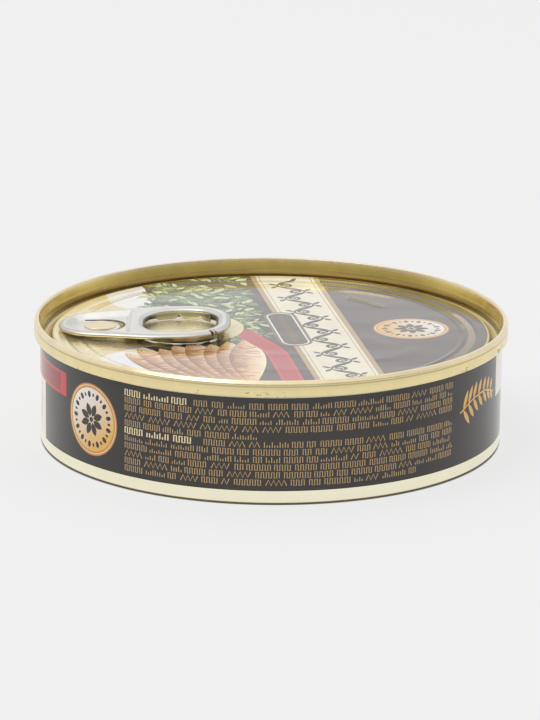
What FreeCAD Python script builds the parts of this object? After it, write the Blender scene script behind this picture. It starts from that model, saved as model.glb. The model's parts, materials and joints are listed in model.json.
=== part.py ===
import FreeCAD, Part
import math
import os

# Shallow round fish tin with a ring-pull lid, in millimetres.
# The base stands on z = 0, the tin's axis is +Z, and the pull tab lies along -X.
# Three pieces: the drawn body with its filling, the lid seamed onto it, and the tab
# riveted to the lid.  The tin is shut, so the body is solid up to the lid's underside.

Vec = FreeCAD.Vector
UP = Vec(0, 0, 1)

# ---- overall sizes
CAN_HEIGHT = 27.0
SEAM_RADIUS = 51.15

# ---- double seam and chuck wall
SEAM_HEIGHT = 3.6
SEAM_OVERHANG = 1.3        # how far the seam stands out past the body wall
SEAM_LOWER_ROUND = 0.45
RIM_THICKNESS = 1.15
RIM_OUTER_ROUND = 0.62
RIM_INNER_ROUND = 0.35
CHUCK_TAPER = 0.7          # how much narrower the chuck wall is at its foot
LID_SHEET = 0.25

# ---- countersink and panel of the lid
SINK_DEPTH = 4.9           # below the rim
SINK_WIDTH = 1.85
SINK_BEVEL = 0.6
PANEL_DEPTH = 3.45         # below the rim, at the panel's outer ring
PANEL_EDGE_ROUND = 0.55
RING_WIDTH = 2.9           # flat ring outside the panel's step
STEP_RUN = 0.5
STEP_DROP = 0.25
BEAD_INSET = 2.5           # from the step inwards to the bead's crest
BEAD_WIDTH = 1.4
BEAD_HEIGHT = 0.12

# ---- body
BODY_CORNER_ROUND = 1.15
STAND_RING_WIDTH = 1.9
BASE_RECESS = 1.0
BASE_RECESS_RUN = 1.3
BASE_BEAD_INSET = 8.0
BASE_BEAD_WIDTH = 2.4
BASE_BEAD_HEIGHT = 0.45

# ---- rivet
RIVET_INSET = 10.55        # from the panel's outer wall to the rivet's centre
STEM_RADIUS = 1.6
STEM_CLEARANCE = 0.05
HEAD_RADIUS = 3.4
HEAD_HEIGHT = 0.35
HEAD_ROUND = 0.12
BOSS_HEIGHT = 0.7
BOSS_FLARE = 0.6
BOSS_CLEARANCE = 0.2       # between the boss's rim and the root of the tab's tongue

# ---- pull tab, lengths counted from the rivet's centre
TAB_SHEET = 0.4
TAB_THICKNESS = 1.3        # over the curled edge
TAB_CURL_ROUND = 0.55
TAB_CURL_LIFT = 0.02       # curled edge's underside above the web's underside
TAB_TILT_DEG = 1.8         # the ring end stands higher than the nose
NOSE_RADIUS = 9.0
RING_REACH = 28.2
RING_HALF_WIDTH = 12.25
RING_CORNER_RADIUS = 9.9
SHOULDER_REACH = 11.6
SHOULDER_ROUND = 12.0
RING_EDGE = 2.7            # solid edge at the ring's free end
RING_SIDE_EDGE = 3.05
HOLE_LENGTH = 16.2
HOLE_CORNER_RADIUS = 7.3

# ---- tongue under the rivet, the slot that frees it, and the sunk web round both
TONGUE_RADIUS = 4.3
TONGUE_ROOT_REACH = 3.4
ROOT_OVERLAP = 1.0
COIN_MARGIN = 0.02         # tongue's faces below the web's, beyond what the tilt takes up
SLOT_SIDE_GAP = 0.6
SLOT_END_GAP = 1.2
WEB_SIDE_LAND = 0.4        # flat web left beside the slot, at the tongue's root
WEB_END_LAND = 0.2
WEB_SIDE_SLOPE_RUN = 1.9
WEB_END_SLOPE_RUN = 0.9
WEB_NOSE_REACH = 6.1
WEB_SHOULDER_REACH = 4.0
WEB_TIP_HALF_WIDTH = 4.2
WEB_FLARE = 2.0            # how much wider each side of the web is at its ring end

# ---- levels and radii that follow from the sizes above
RIM_Z = CAN_HEIGHT
SEAM_FOOT_Z = RIM_Z - SEAM_HEIGHT
PANEL_Z = RIM_Z - PANEL_DEPTH
INNER_Z = PANEL_Z - STEP_DROP
SINK_Z = RIM_Z - SINK_DEPTH
BODY_RADIUS = SEAM_RADIUS - SEAM_OVERHANG
CHUCK_TOP_RADIUS = SEAM_RADIUS - RIM_THICKNESS
CHUCK_FOOT_RADIUS = CHUCK_TOP_RADIUS - CHUCK_TAPER
PANEL_RADIUS = CHUCK_FOOT_RADIUS - SINK_WIDTH
STEP_RADIUS = PANEL_RADIUS - RING_WIDTH
BEAD_RADIUS = STEP_RADIUS - STEP_RUN - BEAD_INSET
RIVET_X = -(PANEL_RADIUS - RIVET_INSET)
BOSS_TOP_Z = INNER_Z + BOSS_HEIGHT
BOSS_RADIUS = TONGUE_ROOT_REACH - BOSS_CLEARANCE
COIN_DEPTH = ROOT_OVERLAP * math.tan(math.radians(TAB_TILT_DEG)) + COIN_MARGIN
TONGUE_SHEET = TAB_SHEET - 2 * COIN_DEPTH
TONGUE_TOP_Z = BOSS_TOP_Z + TONGUE_SHEET
WEB_FOOT_Z = BOSS_TOP_Z - COIN_DEPTH
WEB_TOP_Z = WEB_FOOT_Z + TAB_SHEET
SLOT_RADIUS = TONGUE_RADIUS + SLOT_SIDE_GAP
SLOT_SHIFT = SLOT_END_GAP - SLOT_SIDE_GAP
WEB_NOSE_HALF_WIDTH = SLOT_RADIUS + WEB_SIDE_LAND + WEB_SIDE_SLOPE_RUN
WEB_RING_HALF_WIDTH = WEB_NOSE_HALF_WIDTH + WEB_FLARE
WEB_RING_REACH = SLOT_RADIUS + SLOT_SHIFT + WEB_END_LAND + WEB_END_SLOPE_RUN
CURL_FOOT_Z = WEB_FOOT_Z + TAB_CURL_LIFT
TAB_TOP_Z = CURL_FOOT_Z + TAB_THICKNESS

SHORTEST_EDGE = 1e-4


def rounded_wire(corners, place):
    """Closed wire through (a, b, radius) corners, each rounded by a tangent arc.

    A corner's arc starts and ends radius * tan(turn / 2) from the corner, and its middle
    lies radius * (1 / cos(turn / 2) - 1) from it, along the line between both sides.
    """
    edges = []
    arcs = []
    count = len(corners)
    for i, (a, b, radius) in enumerate(corners):
        corner = Vec(a, b, 0)
        before = (Vec(*corners[i - 1][:2], 0) - corner).normalize()
        after = (Vec(*corners[(i + 1) % count][:2], 0) - corner).normalize()
        half_turn = (math.pi - before.getAngle(after)) / 2
        reach = radius * math.tan(half_turn)
        middle = corner
        if radius > 0:
            middle = corner + (before + after).normalize() * (radius / math.cos(half_turn) - radius)
        arcs.append((corner + before * reach, middle, corner + after * reach))
    for i, (start, middle, end) in enumerate(arcs):
        if (start - end).Length > SHORTEST_EDGE:
            points = [place(p.x, p.y) for p in (start, middle, end)]
            edges.append(Part.Arc(*points).toShape())
        next_start = arcs[(i + 1) % count][0]
        if (next_start - end).Length > SHORTEST_EDGE:
            edges.append(Part.makeLine(place(end.x, end.y), place(next_start.x, next_start.y)))
    return Part.Wire(edges)


def turned(profile):
    """Solid of revolution about +Z from (radius, z, rounding) corners."""
    face = Part.Face(rounded_wire(profile, lambda r, z: Vec(r, 0, z)))
    return face.revolve(Vec(0, 0, 0), UP, 360)


def slab(outline, low, high):
    """Flat plate between two heights from (x, y, rounding) corners."""
    face = Part.Face(rounded_wire(outline, lambda x, y: Vec(x, y, low)))
    return face.extrude(Vec(0, 0, high - low))


def mirrored(half):
    """Closed outline from the corners of its +Y half, given from -X to +X."""
    other_half = [(x, -y, radius) for x, y, radius in reversed(half)]
    return half + other_half


def lid_underside():
    """Corners of the lid sheet's underside, from the axis to the seam's foot.

    The body's top is the same line, so the filling meets the lid face to face.
    """
    return [
        (0, INNER_Z - LID_SHEET, 0),
        (STEP_RADIUS - STEP_RUN, INNER_Z - LID_SHEET, 0),
        (STEP_RADIUS, PANEL_Z - LID_SHEET, 0),
        (PANEL_RADIUS - LID_SHEET, PANEL_Z - LID_SHEET, 0),
        (PANEL_RADIUS - LID_SHEET, SINK_Z - LID_SHEET, 0),
        (CHUCK_FOOT_RADIUS + LID_SHEET, SINK_Z - LID_SHEET, 0),
        (CHUCK_FOOT_RADIUS + LID_SHEET, SEAM_FOOT_Z, 0),
    ]


def make_body():
    """Drawn body with its filling: round bottom corner, stand ring and beaded base."""
    ring_inner = BODY_RADIUS - BODY_CORNER_ROUND - STAND_RING_WIDTH
    panel_edge = ring_inner - BASE_RECESS_RUN
    bead_outer = panel_edge - BASE_BEAD_INSET
    bead_crest_z = BASE_RECESS - BASE_BEAD_HEIGHT
    base = [
        (BODY_RADIUS, SEAM_FOOT_Z, 0),
        (BODY_RADIUS, 0, BODY_CORNER_ROUND),
        (ring_inner, 0, 0),
        (panel_edge, BASE_RECESS, 0),
        (bead_outer, BASE_RECESS, 0),
        (bead_outer - BASE_BEAD_WIDTH / 3, bead_crest_z, 0),
        (bead_outer - BASE_BEAD_WIDTH * 2 / 3, bead_crest_z, 0),
        (bead_outer - BASE_BEAD_WIDTH, BASE_RECESS, 0),
        (0, BASE_RECESS, 0),
    ]
    return turned(lid_underside() + base)


def make_lid():
    """Lid in one piece: seam, chuck wall, countersink, stepped panel, boss and rivet."""
    upper = [
        (BODY_RADIUS, SEAM_FOOT_Z, 0),
        (SEAM_RADIUS, SEAM_FOOT_Z, SEAM_LOWER_ROUND),
        (SEAM_RADIUS, RIM_Z, RIM_OUTER_ROUND),
        (CHUCK_TOP_RADIUS, RIM_Z, RIM_INNER_ROUND),
        (CHUCK_FOOT_RADIUS, SINK_Z + SINK_BEVEL, 0),
        (CHUCK_FOOT_RADIUS - SINK_BEVEL, SINK_Z, 0),
        (PANEL_RADIUS + SINK_BEVEL, SINK_Z, 0),
        (PANEL_RADIUS, SINK_Z + SINK_BEVEL, 0),
        (PANEL_RADIUS, PANEL_Z, PANEL_EDGE_ROUND),
        (STEP_RADIUS, PANEL_Z, 0),
        (STEP_RADIUS - STEP_RUN, INNER_Z, 0),
        (BEAD_RADIUS + BEAD_WIDTH / 2, INNER_Z, 0),
        (BEAD_RADIUS, INNER_Z + BEAD_HEIGHT, 0),
        (BEAD_RADIUS - BEAD_WIDTH / 2, INNER_Z, 0),
        (0, INNER_Z, 0),
    ]
    lid = turned(lid_underside() + upper)
    boss_foot_z = INNER_Z - LID_SHEET / 2
    boss_foot_radius = BOSS_RADIUS + BOSS_FLARE
    rivet = turned([
        (0, boss_foot_z, 0),
        (boss_foot_radius, boss_foot_z, 0),
        (boss_foot_radius, INNER_Z, 0),
        (BOSS_RADIUS, BOSS_TOP_Z, 0),
        (STEM_RADIUS, BOSS_TOP_Z, 0),
        (STEM_RADIUS, TONGUE_TOP_Z, 0),
        (HEAD_RADIUS, TONGUE_TOP_Z, 0),
        (HEAD_RADIUS, TONGUE_TOP_Z + HEAD_HEIGHT, HEAD_ROUND),
        (0, TONGUE_TOP_Z + HEAD_HEIGHT, 0),
    ])
    rivet.translate(Vec(RIVET_X, 0, 0))
    return lid.fuse(rivet).removeSplitter()


def tab_outline():
    """Tab seen from above, from the rivet's centre: round nose, shoulders and ring end.

    The side lines run from the shoulder corners and touch the nose circle.
    """
    shoulder = math.hypot(SHOULDER_REACH, RING_HALF_WIDTH)
    touch = math.atan2(RING_HALF_WIDTH, SHOULDER_REACH) + math.acos(NOSE_RADIUS / shoulder)
    nose_corner_y = NOSE_RADIUS * math.tan((math.pi - touch) / 2)
    return mirrored([
        (-NOSE_RADIUS, nose_corner_y, NOSE_RADIUS),
        (SHOULDER_REACH, RING_HALF_WIDTH, SHOULDER_ROUND),
        (RING_REACH, RING_HALF_WIDTH, RING_CORNER_RADIUS),
    ])


def finger_hole_outline():
    """Rounded hole in the ring."""
    far = RING_REACH - RING_EDGE
    half_width = RING_HALF_WIDTH - RING_SIDE_EDGE
    return mirrored([
        (far - HOLE_LENGTH, half_width, HOLE_CORNER_RADIUS),
        (far, half_width, HOLE_CORNER_RADIUS),
    ])


def web_outline(side_inset, end_inset):
    """Six-sided outline of the sunk web, drawn in by the run of its slopes."""
    return mirrored([
        (-WEB_NOSE_REACH + end_inset, WEB_TIP_HALF_WIDTH - side_inset / 2, 0),
        (-WEB_SHOULDER_REACH + end_inset / 2, WEB_NOSE_HALF_WIDTH - side_inset, 0),
        (WEB_RING_REACH - end_inset, WEB_RING_HALF_WIDTH - side_inset, 0),
    ])


def round_ended(radius, centre_x, overlap, low, high):
    """Plug with a round end towards the ring and a straight root towards the nose."""
    return slab(mirrored([
        (-TONGUE_ROOT_REACH - overlap, radius, 0),
        (centre_x + radius, radius, radius),
    ]), low, high)


def make_tab():
    """Ring-pull tab: curled edge, finger hole, sunk web and the tongue under the rivet."""
    ring = slab(tab_outline(), CURL_FOOT_Z, TAB_TOP_Z)
    ring = ring.cut(slab(finger_hole_outline(), CURL_FOOT_Z, TAB_TOP_Z))
    rims = [edge for edge in ring.Edges if edge.BoundBox.ZLength < SHORTEST_EDGE]
    plate = ring.makeFillet(TAB_CURL_ROUND, rims)

    wide = rounded_wire(web_outline(0, 0), lambda x, y: Vec(x, y, TAB_TOP_Z))
    narrow = rounded_wire(
        web_outline(WEB_SIDE_SLOPE_RUN, WEB_END_SLOPE_RUN),
        lambda x, y: Vec(x, y, WEB_TOP_Z),
    )
    web = slab(web_outline(WEB_SIDE_SLOPE_RUN / 2, WEB_END_SLOPE_RUN / 2), WEB_FOOT_Z, WEB_TOP_Z)
    plate = plate.cut(Part.makeLoft([narrow, wide], True, True)).fuse(web)

    slot_low = WEB_FOOT_Z - TAB_SHEET
    plate = plate.cut(round_ended(SLOT_RADIUS, SLOT_SHIFT, 0, slot_low, TAB_TOP_Z))
    plate.rotate(Vec(-TONGUE_ROOT_REACH, 0, WEB_FOOT_Z), Vec(0, 1, 0), -TAB_TILT_DEG)

    tongue = round_ended(TONGUE_RADIUS, 0, ROOT_OVERLAP, BOSS_TOP_Z, TONGUE_TOP_Z)
    stem_hole = Part.makeCylinder(STEM_RADIUS + STEM_CLEARANCE, TONGUE_SHEET, Vec(0, 0, BOSS_TOP_Z))
    tab = plate.fuse(tongue).cut(stem_hole)
    tab.translate(Vec(RIVET_X, 0, 0))
    return tab


def main():
    os.makedirs("parts", exist_ok=True)
    pieces = {"can_body": make_body(), "lid": make_lid(), "pull_tab": make_tab()}
    for name, shape in pieces.items():
        solid, = shape.Solids
        solid.exportStep(f"parts/{name}.step")
        box = solid.BoundBox
        print(name, solid.isValid(), round(solid.Volume, 1), "mm3",
              [round(v, 2) for v in (box.XMin, box.YMin, box.ZMin, box.XMax, box.YMax, box.ZMax)])


main()
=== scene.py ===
"""Shallow round tin of smoked sprats with a ring-pull lid: its looks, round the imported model.

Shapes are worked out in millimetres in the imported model's frame: the base stands on z = 0, the
axis is +Z and the pull tab lies along -X.  Properties and finished meshes are in metres.
"""

import json
import math
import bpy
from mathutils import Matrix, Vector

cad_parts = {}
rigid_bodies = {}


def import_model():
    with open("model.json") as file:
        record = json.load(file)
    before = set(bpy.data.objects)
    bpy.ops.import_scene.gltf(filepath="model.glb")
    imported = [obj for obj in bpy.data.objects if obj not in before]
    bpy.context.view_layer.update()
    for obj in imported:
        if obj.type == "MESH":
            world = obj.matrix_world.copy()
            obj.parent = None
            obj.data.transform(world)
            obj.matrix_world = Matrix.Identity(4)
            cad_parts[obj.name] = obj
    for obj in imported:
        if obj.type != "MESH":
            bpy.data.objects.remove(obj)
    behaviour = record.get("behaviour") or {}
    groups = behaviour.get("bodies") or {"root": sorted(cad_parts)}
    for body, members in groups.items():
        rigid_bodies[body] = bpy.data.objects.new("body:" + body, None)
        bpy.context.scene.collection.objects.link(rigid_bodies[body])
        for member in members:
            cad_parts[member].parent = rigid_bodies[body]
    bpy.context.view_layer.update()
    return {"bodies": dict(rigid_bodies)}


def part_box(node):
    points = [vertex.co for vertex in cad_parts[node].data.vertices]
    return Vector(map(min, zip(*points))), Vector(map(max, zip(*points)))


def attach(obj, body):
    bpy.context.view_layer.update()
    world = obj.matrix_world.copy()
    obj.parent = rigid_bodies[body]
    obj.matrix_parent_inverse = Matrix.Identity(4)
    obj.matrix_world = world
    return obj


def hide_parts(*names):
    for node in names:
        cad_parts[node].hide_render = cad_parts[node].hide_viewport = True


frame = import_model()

from types import SimpleNamespace

import bpy
import numpy as np
from mathutils import Matrix, Vector
from mathutils.geometry import delaunay_2d_cdt

bl_info = {
    "name": "Sprat tin",
    "version": (1, 0, 0),
    "blender": (4, 5, 0),
    "location": "View3D > Sidebar > Sprat tin",
    "description": "Builds the visual pieces of a printed ring-pull fish tin round its packed model",
    "category": "Add Mesh",
}

MM = 0.001
BODY = next(iter(frame["bodies"]))
RIM_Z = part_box("lid")[1].z / MM      # top of the rim
BOX_MARGIN = 0.004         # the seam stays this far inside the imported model's box
SEAM_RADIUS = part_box("lid")[1].x / MM - BOX_MARGIN
BODY_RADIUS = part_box("can_body")[1].x / MM

SEGMENTS = 512             # steps round the tin
ARC_STEP = math.radians(7.5)         # turn between neighbouring points of a rounding
OVERLAY_ERROR = 1e-4       # outline points closer than this become one
TRIANGLES_INSIDE = 1       # the flat overlay keeps only triangles inside the outlines
WELD_GRID = 1e4            # points closer than a ten-thousandth of a millimetre are one
SLACK = 1e-6               # a point this near a limit lies on it
CLIP_STAGGER = 0.004       # outlines cut at one radius are kept this far apart
SMALLEST_SHAPE = 0.03      # a cut shape with less area than this is left off
OPENING = (0.0, 0.0, 0.0, 1.0)       # marks an opening in a plate
BARE = (1.0, 1.0, 1.0, 0.0)          # no ink
FROSTED = (1.0, 0.955, 0.81, 0.3)    # thin matt lacquer that lets most of the metal show
PAINTED_SHADOW_GLOW = (0.065, 0.05, 0.032)    # dim light the floor gives off under the tin: a painted shadow
FLOOR_REACH = 4.0          # metres from the tin to the floor's edges
INK_ROUGHNESS = 0.12
COAT_ROUGHNESS = 0.04
NOISE_MIDDLE = (0.3, 0.7)  # range that a noise pattern's values fill


# ------------------------------------------------------------------ sizes and colours for the user

def length(name, size, description):
    """Length property whose default is given in millimetres."""
    return bpy.props.FloatProperty(
        name=name, description=description, default=size * MM, unit="LENGTH", precision=5)


def degrees(name, value, description):
    """Angle property whose default is given in degrees."""
    return bpy.props.FloatProperty(
        name=name, description=description, default=math.radians(value), subtype="ANGLE")


def linear(value):
    """Linear light of a 0 to 255 display value."""
    value /= 255
    return value / 12.92 if value <= 0.04045 else ((value + 0.055) / 1.055) ** 2.4


def tint(name, red, green, blue, description):
    """Colour property whose default is given in 0 to 255 display values."""
    return bpy.props.FloatVectorProperty(
        name=name, description=description, subtype="COLOR", size=3, min=0, max=1,
        default=(linear(red), linear(green), linear(blue)))


def position(name, point, description):
    """Point property whose default is given in millimetres."""
    return bpy.props.FloatVectorProperty(
        name=name, description=description, default=[value * MM for value in point],
        size=3, unit="LENGTH", precision=5)


def amount(name, value, description, **settings):
    """Plain number property."""
    return bpy.props.FloatProperty(name=name, description=description, default=value, **settings)


class TinLidSizes(bpy.types.PropertyGroup):
    """Lid with its double seam, from the rim inwards."""
    seam_height: length("Seam height", 3.6, "Height of the double seam")
    rim_thickness: length("Rim thickness", 1.15, "Width of the seam's top")
    wall_dip: length("Wall dip", 0.07, "How far the crease under the rim's round is drawn in")
    crease_depth: length("Crease depth", 1.0, "Depth of that crease below the rim")
    rim_slope: length("Rim slope", 0.53, "How far the rim's outer slope runs inwards")
    rim_slope_depth: length("Rim slope depth", 0.72, "Depth below the rim where that slope starts")
    chuck_taper: length("Chuck taper", 0.7, "How much narrower the chuck wall is at its foot")
    chuck_break_depth: length("Chuck break depth", 2.2, "Depth of the line where the wall steepens")
    chuck_break_taper: length("Chuck break taper", 0.47, "Taper reached at that line")
    sink_depth: length("Countersink depth", 4.9, "Countersink below the rim")
    sink_width: length("Countersink width", 1.85, "Width of the countersink's floor")
    sheet: length("Sheet", 0.25, "Thickness of the lid's sheet")
    panel_depth: length("Panel depth", 3.45, "Outer ring of the panel below the rim")
    edge_round: length("Panel edge round", 0.55, "Rounding of the panel's outer edge")
    ring_width: length("Ring width", 2.9, "Flat ring outside the panel's step")
    step_run: length("Step run", 0.5, "Width of the step's slope")
    step_drop: length("Step drop", 0.25, "How far the panel drops inside the ring")
    bead_inset: length("Bead inset", 2.5, "From the step to the bead's crest")
    bead_width: length("Bead width", 1.4, "Width of the round bead")
    bead_height: length("Bead height", 0.12, "Height of the round bead")
    print_margin: length("Print margin", 0.71, "Bare lip outside the print")


class TinTabSizes(bpy.types.PropertyGroup):
    """Pull tab and its rivet, counted from the rivet's centre."""
    rivet_inset: length("Rivet inset", 10.55, "From the panel's outer wall to the rivet")
    head_radius: length("Head radius", 3.4, "Radius of the rivet's head")
    head_height: length("Head height", 0.35, "Height of the rivet's head")
    head_round: length("Head round", 0.12, "Rounding of the rivet's head")
    head_crown: length("Head crown", 0.07, "How far the head's middle rises")
    boss_height: length("Boss height", 0.7, "Height of the boss that carries the tab")
    boss_radius: length("Boss radius", 3.2, "Radius of the boss's top")
    boss_flare: length("Boss flare", 0.6, "How much wider the boss's foot is")
    stem_radius: length("Stem radius", 1.6, "Radius of the rivet's stem")
    sheet: length("Sheet", 0.4, "Thickness of the tab's sheet")
    thickness: length("Thickness", 1.3, "Thickness over the rolled edge")
    roll_width: length("Roll width", 1.35, "How far the rolled edge's round reaches inwards")
    foot_lift: length("Foot lift", 0.02, "Rolled edge's underside above the web's")
    tilt: degrees("Tilt", 1.8, "How much higher the ring end stands")
    nose_radius: length("Nose radius", 9.0, "Radius of the nose")
    ring_reach: length("Ring reach", 28.2, "Free end of the ring")
    half_width: length("Half width", 12.25, "Half the ring's width")
    corner_radius: length("Corner radius", 9.9, "Radius of the ring's corners")
    shoulder_reach: length("Shoulder reach", 11.6, "Where the sides stop widening")
    shoulder_round: length("Shoulder round", 12.0, "Rounding of the shoulders")
    ring_edge: length("Ring edge", 2.7, "Solid edge at the free end")
    side_edge: length("Side edge", 3.05, "Solid edge beside the finger hole")
    hole_length: length("Hole length", 16.2, "Length of the finger hole")
    hole_corner: length("Hole corner", 7.3, "Radius of the finger hole's corners")
    tongue_radius: length("Tongue radius", 4.3, "Radius of the tongue under the rivet")
    tongue_root: length("Tongue root", 3.4, "Where the tongue leaves the web")
    tongue_sheet: length("Tongue sheet", 0.297, "Thickness of the coined tongue")
    slot_radius: length("Slot radius", 4.9, "Radius of the slot round the tongue")
    slot_shift: length("Slot shift", 0.6, "How far the slot is shifted to the ring")
    hem_gap: length("Hem gap", 0.15, "Lowest lobes of the hole's hem above the lid")
    nick_depth: length("Nick depth", 1.2, "Depth of the nick in the ring's front edge")


class TinLabelSizes(bpy.types.PropertyGroup):
    """Body wall and the print round it."""
    corner_round: length("Corner round", 1.15, "Rounding of the bottom corner")
    stand_ring: length("Stand ring", 1.9, "Width of the ring it stands on")
    base_recess: length("Base recess", 1.0, "Height of the base inside that ring")
    label_foot: length("Label foot", 3.05, "Lower edge of the print")
    label_top: length("Label top", 23.05, "Upper edge of the print")
    roundel_radius: length("Roundel radius", 7.8, "Radius of the round badge")
    stroke_height: length("Stroke height", 1.2, "Height of the fine strokes")
    stroke_pitch: length("Stroke pitch", 0.54, "From one fine stroke to the next")


class TinInks(bpy.types.PropertyGroup):
    """Printing inks."""
    black: tint("Black", 48, 43, 38, "Ground of the label and lid")
    cream: tint("Cream", 240, 232, 205, "Broad band on the lid")
    white: tint("White", 240, 238, 236, "White fields")
    gold: tint("Gold", 232, 182, 92, "Gold ink")
    pale_gold: tint("Pale gold", 246, 226, 176, "Light gold ink")
    amber: tint("Amber", 206, 138, 66, "Border of the round badge")
    tan: tint("Tan", 186, 158, 112, "Stripes beside the band")
    dim_gold: tint("Dim gold", 204, 168, 112, "Fine strokes")
    red: tint("Red", 214, 46, 52, "Bright edge of the red stripe")
    dark_red: tint("Dark red", 154, 50, 52, "Field of the red banner")
    brown: tint("Brown", 142, 88, 52, "Fish backs")
    rust: tint("Rust", 232, 182, 136, "Fish flanks")
    flesh: tint("Flesh", 255, 238, 204, "Fish bellies")
    leaf_dark: tint("Dark leaf", 58, 70, 46, "Leaves in shade")
    leaf: tint("Leaf", 104, 128, 72, "Leaves")
    leaf_light: tint("Light leaf", 188, 206, 132, "Leaves in light")


class TinMetals(bpy.types.PropertyGroup):
    """Metals and their lacquer."""
    lacquer: tint("Gold lacquer", 246, 230, 190, "Gold lacquer of the lid")
    # seam, deep and low lacquer: tints of the one gold lacquer by place, painted light that stands in for how
    # it shows on the seam, the recess's wall and the wall's foot
    seam_lacquer: tint("Seam lacquer", 255, 253, 231, "Tone of the lacquer on the seam")
    deep_lacquer: tint("Deep lacquer", 255, 242, 164, "Tone of the lacquer on the recess's wall")
    # painted highlight: pale cream laid on the rim's top
    rim_highlight_cream: tint("Rim cream", 250, 240, 216, "Worn top of the rim")
    # painted light: a pale diffuse cover that lightens the recess wall's foot
    foot_painted_gold: tint("Foot gold", 222, 202, 138, "Thick lacquer at the wall's foot")
    low_lacquer: tint("Low lacquer", 255, 248, 214, "Tone of the lacquer at that wall's foot")
    bare_tin: tint("Bare tin", 255, 250, 221, "Bare body below the print")
    steel: tint("Steel", 237, 236, 231, "Top of the pull tab")
    tab_gold: tint("Tab gold", 222, 216, 176, "Lacquer on the tab's underside")
    dust: tint("Dust", 225, 223, 218, "Specks of dust")
    rust_mark: tint("Scuff", 104, 72, 40, "Scuffs on the seam")


class TinStudio(bpy.types.PropertyGroup):
    """Floor, light and camera."""
    floor: tint("Floor", 241, 241, 241, "Shade of the floor")
    floor_bounce: amount("Floor bounce", 0.16, "Share of the floor's light that shadows can take")
    # painted shadow: out to this radius the floor under the tin gives off only dim light
    shade_radius: length("Shade radius", 49.4, "Dark floor under the tin")
    shade_fade: length("Shade fade", 0.6, "Width over which that dark floor turns pale")
    sky: amount("Sky", 1.09, "Brightness of the soft light overhead")
    backdrop: amount("Backdrop", 0.84, "Brightness of the soft light low down")
    dim: amount("Dim", 0.38, "Brightness of the room behind the camera")
    key_power: amount("Key power", 4.4, "Power of the soft lamp", unit="POWER")
    key_width: length("Key width", 900, "Longer side of the soft lamp")
    key_depth: length("Key depth", 700, "Shorter side of the soft lamp")
    key_place: position("Key place", (-550, -350, 1150), "Where the soft lamp hangs")
    camera_place: position("Camera place", (0, -883.28, 267.5), "Where the camera stands")
    camera_pitch: degrees("Camera pitch", 15.832, "How far the camera looks down")
    camera_turn: degrees("Camera turn", 0.0116, "How far the camera looks to the left")
    camera_roll: degrees("Camera roll", 0.49, "Turn round the line of sight")
    camera_lens: amount("Camera lens", 212.1, "Focal length in millimetres")


GROUPS = {
    "tin_lid": TinLidSizes,
    "tin_tab": TinTabSizes,
    "tin_label": TinLabelSizes,
    "tin_inks": TinInks,
    "tin_metals": TinMetals,
    "tin_studio": TinStudio,
}


def in_millimetres(group):
    """The group's lengths in millimetres, and its angles in radians, under their own names."""
    values = {}
    for key in group.__annotations__:
        value = getattr(group, key)
        values[key] = value / MM if group.bl_rna.properties[key].unit == "LENGTH" else value
    return SimpleNamespace(**values)


def ink_set(group):
    """The group's colours as four-number inks that cover the metal fully."""
    return SimpleNamespace(**{key: (*getattr(group, key), 1.0) for key in group.__annotations__})


# ------------------------------------------------------------------ outlines in a plane

def unit(vectors):
    """Vectors divided by their lengths."""
    return vectors / np.linalg.norm(vectors, axis=-1, keepdims=True)


def heading(bearings):
    """Plane vectors of length 1 at bearings: (cos, sin)."""
    return np.stack([np.cos(bearings), np.sin(bearings)], -1)


def left_of(ways):
    """Plane vectors turned a quarter turn to the left: (-y, x)."""
    return np.stack([-ways[..., 1], ways[..., 0]], -1)


def mound(away, half_width):
    """Height of a smooth hill of height 1: exp(-(distance / half width)^2)."""
    return np.exp(-(away / half_width) ** 2)


def rounded_line(corners, closed=False):
    """Points and normals along a line of (a, b, rounding) corners.

    A rounding is the arc that touches both sides: it starts rounding * tan(half the turn) before
    the corner, and its points are centre + rounding * (normal turned step by step).  Normals point
    to the right of the way the line runs, which is outwards on a counter-clockwise outline.
    """
    corners = np.array(corners, float)
    count = len(corners)
    points, normals = [], []
    for i in range(count):
        corner, radius = corners[i, :2], corners[i, 2]
        way_in = corner - corners[i - 1, :2]
        way_out = corners[(i + 1) % count, :2] - corner
        if not closed and i == 0:
            way_in = way_out
        if not closed and i == count - 1:
            way_out = way_in
        way_in, way_out = unit(way_in), unit(way_out)
        turn = math.atan2(way_in[0] * way_out[1] - way_in[1] * way_out[0], way_in @ way_out)
        steps = max(1, math.ceil(abs(turn) / ARC_STEP)) if radius > 0 else 0
        angles = np.linspace(0, turn, steps + 1) if steps else np.array([turn / 2])
        right = -left_of(way_in)
        turned_normals = np.outer(np.cos(angles), right) + np.outer(np.sin(angles), left_of(right))
        side = math.copysign(1, turn)
        start = corner - way_in * radius * abs(math.tan(turn / 2))
        centre = start - side * right * radius
        points.append(centre + side * turned_normals * radius)
        normals.append(turned_normals)
    return np.concatenate(points), np.concatenate(normals)


def distances_along(path):
    """Distance of each of a path's points from its start, along the path."""
    return np.concatenate([[0], np.cumsum(np.linalg.norm(np.diff(path, axis=0), axis=1))])


def read_at(steps, along, values):
    """Pairs of values, given at distances along a path, read between them at other distances."""
    return np.stack([np.interp(steps, along, values[:, k]) for k in (0, 1)], -1)


def evenly(points, normals, spacing):
    """A closed outline's points and normals at equal steps along its length."""
    ring = np.vstack([points, points[:1]])
    facing = np.vstack([normals, normals[:1]])
    along = distances_along(ring)
    steps = np.linspace(0, along[-1], int(along[-1] / spacing), endpoint=False)
    return read_at(steps, along, ring), unit(read_at(steps, along, facing))


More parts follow.
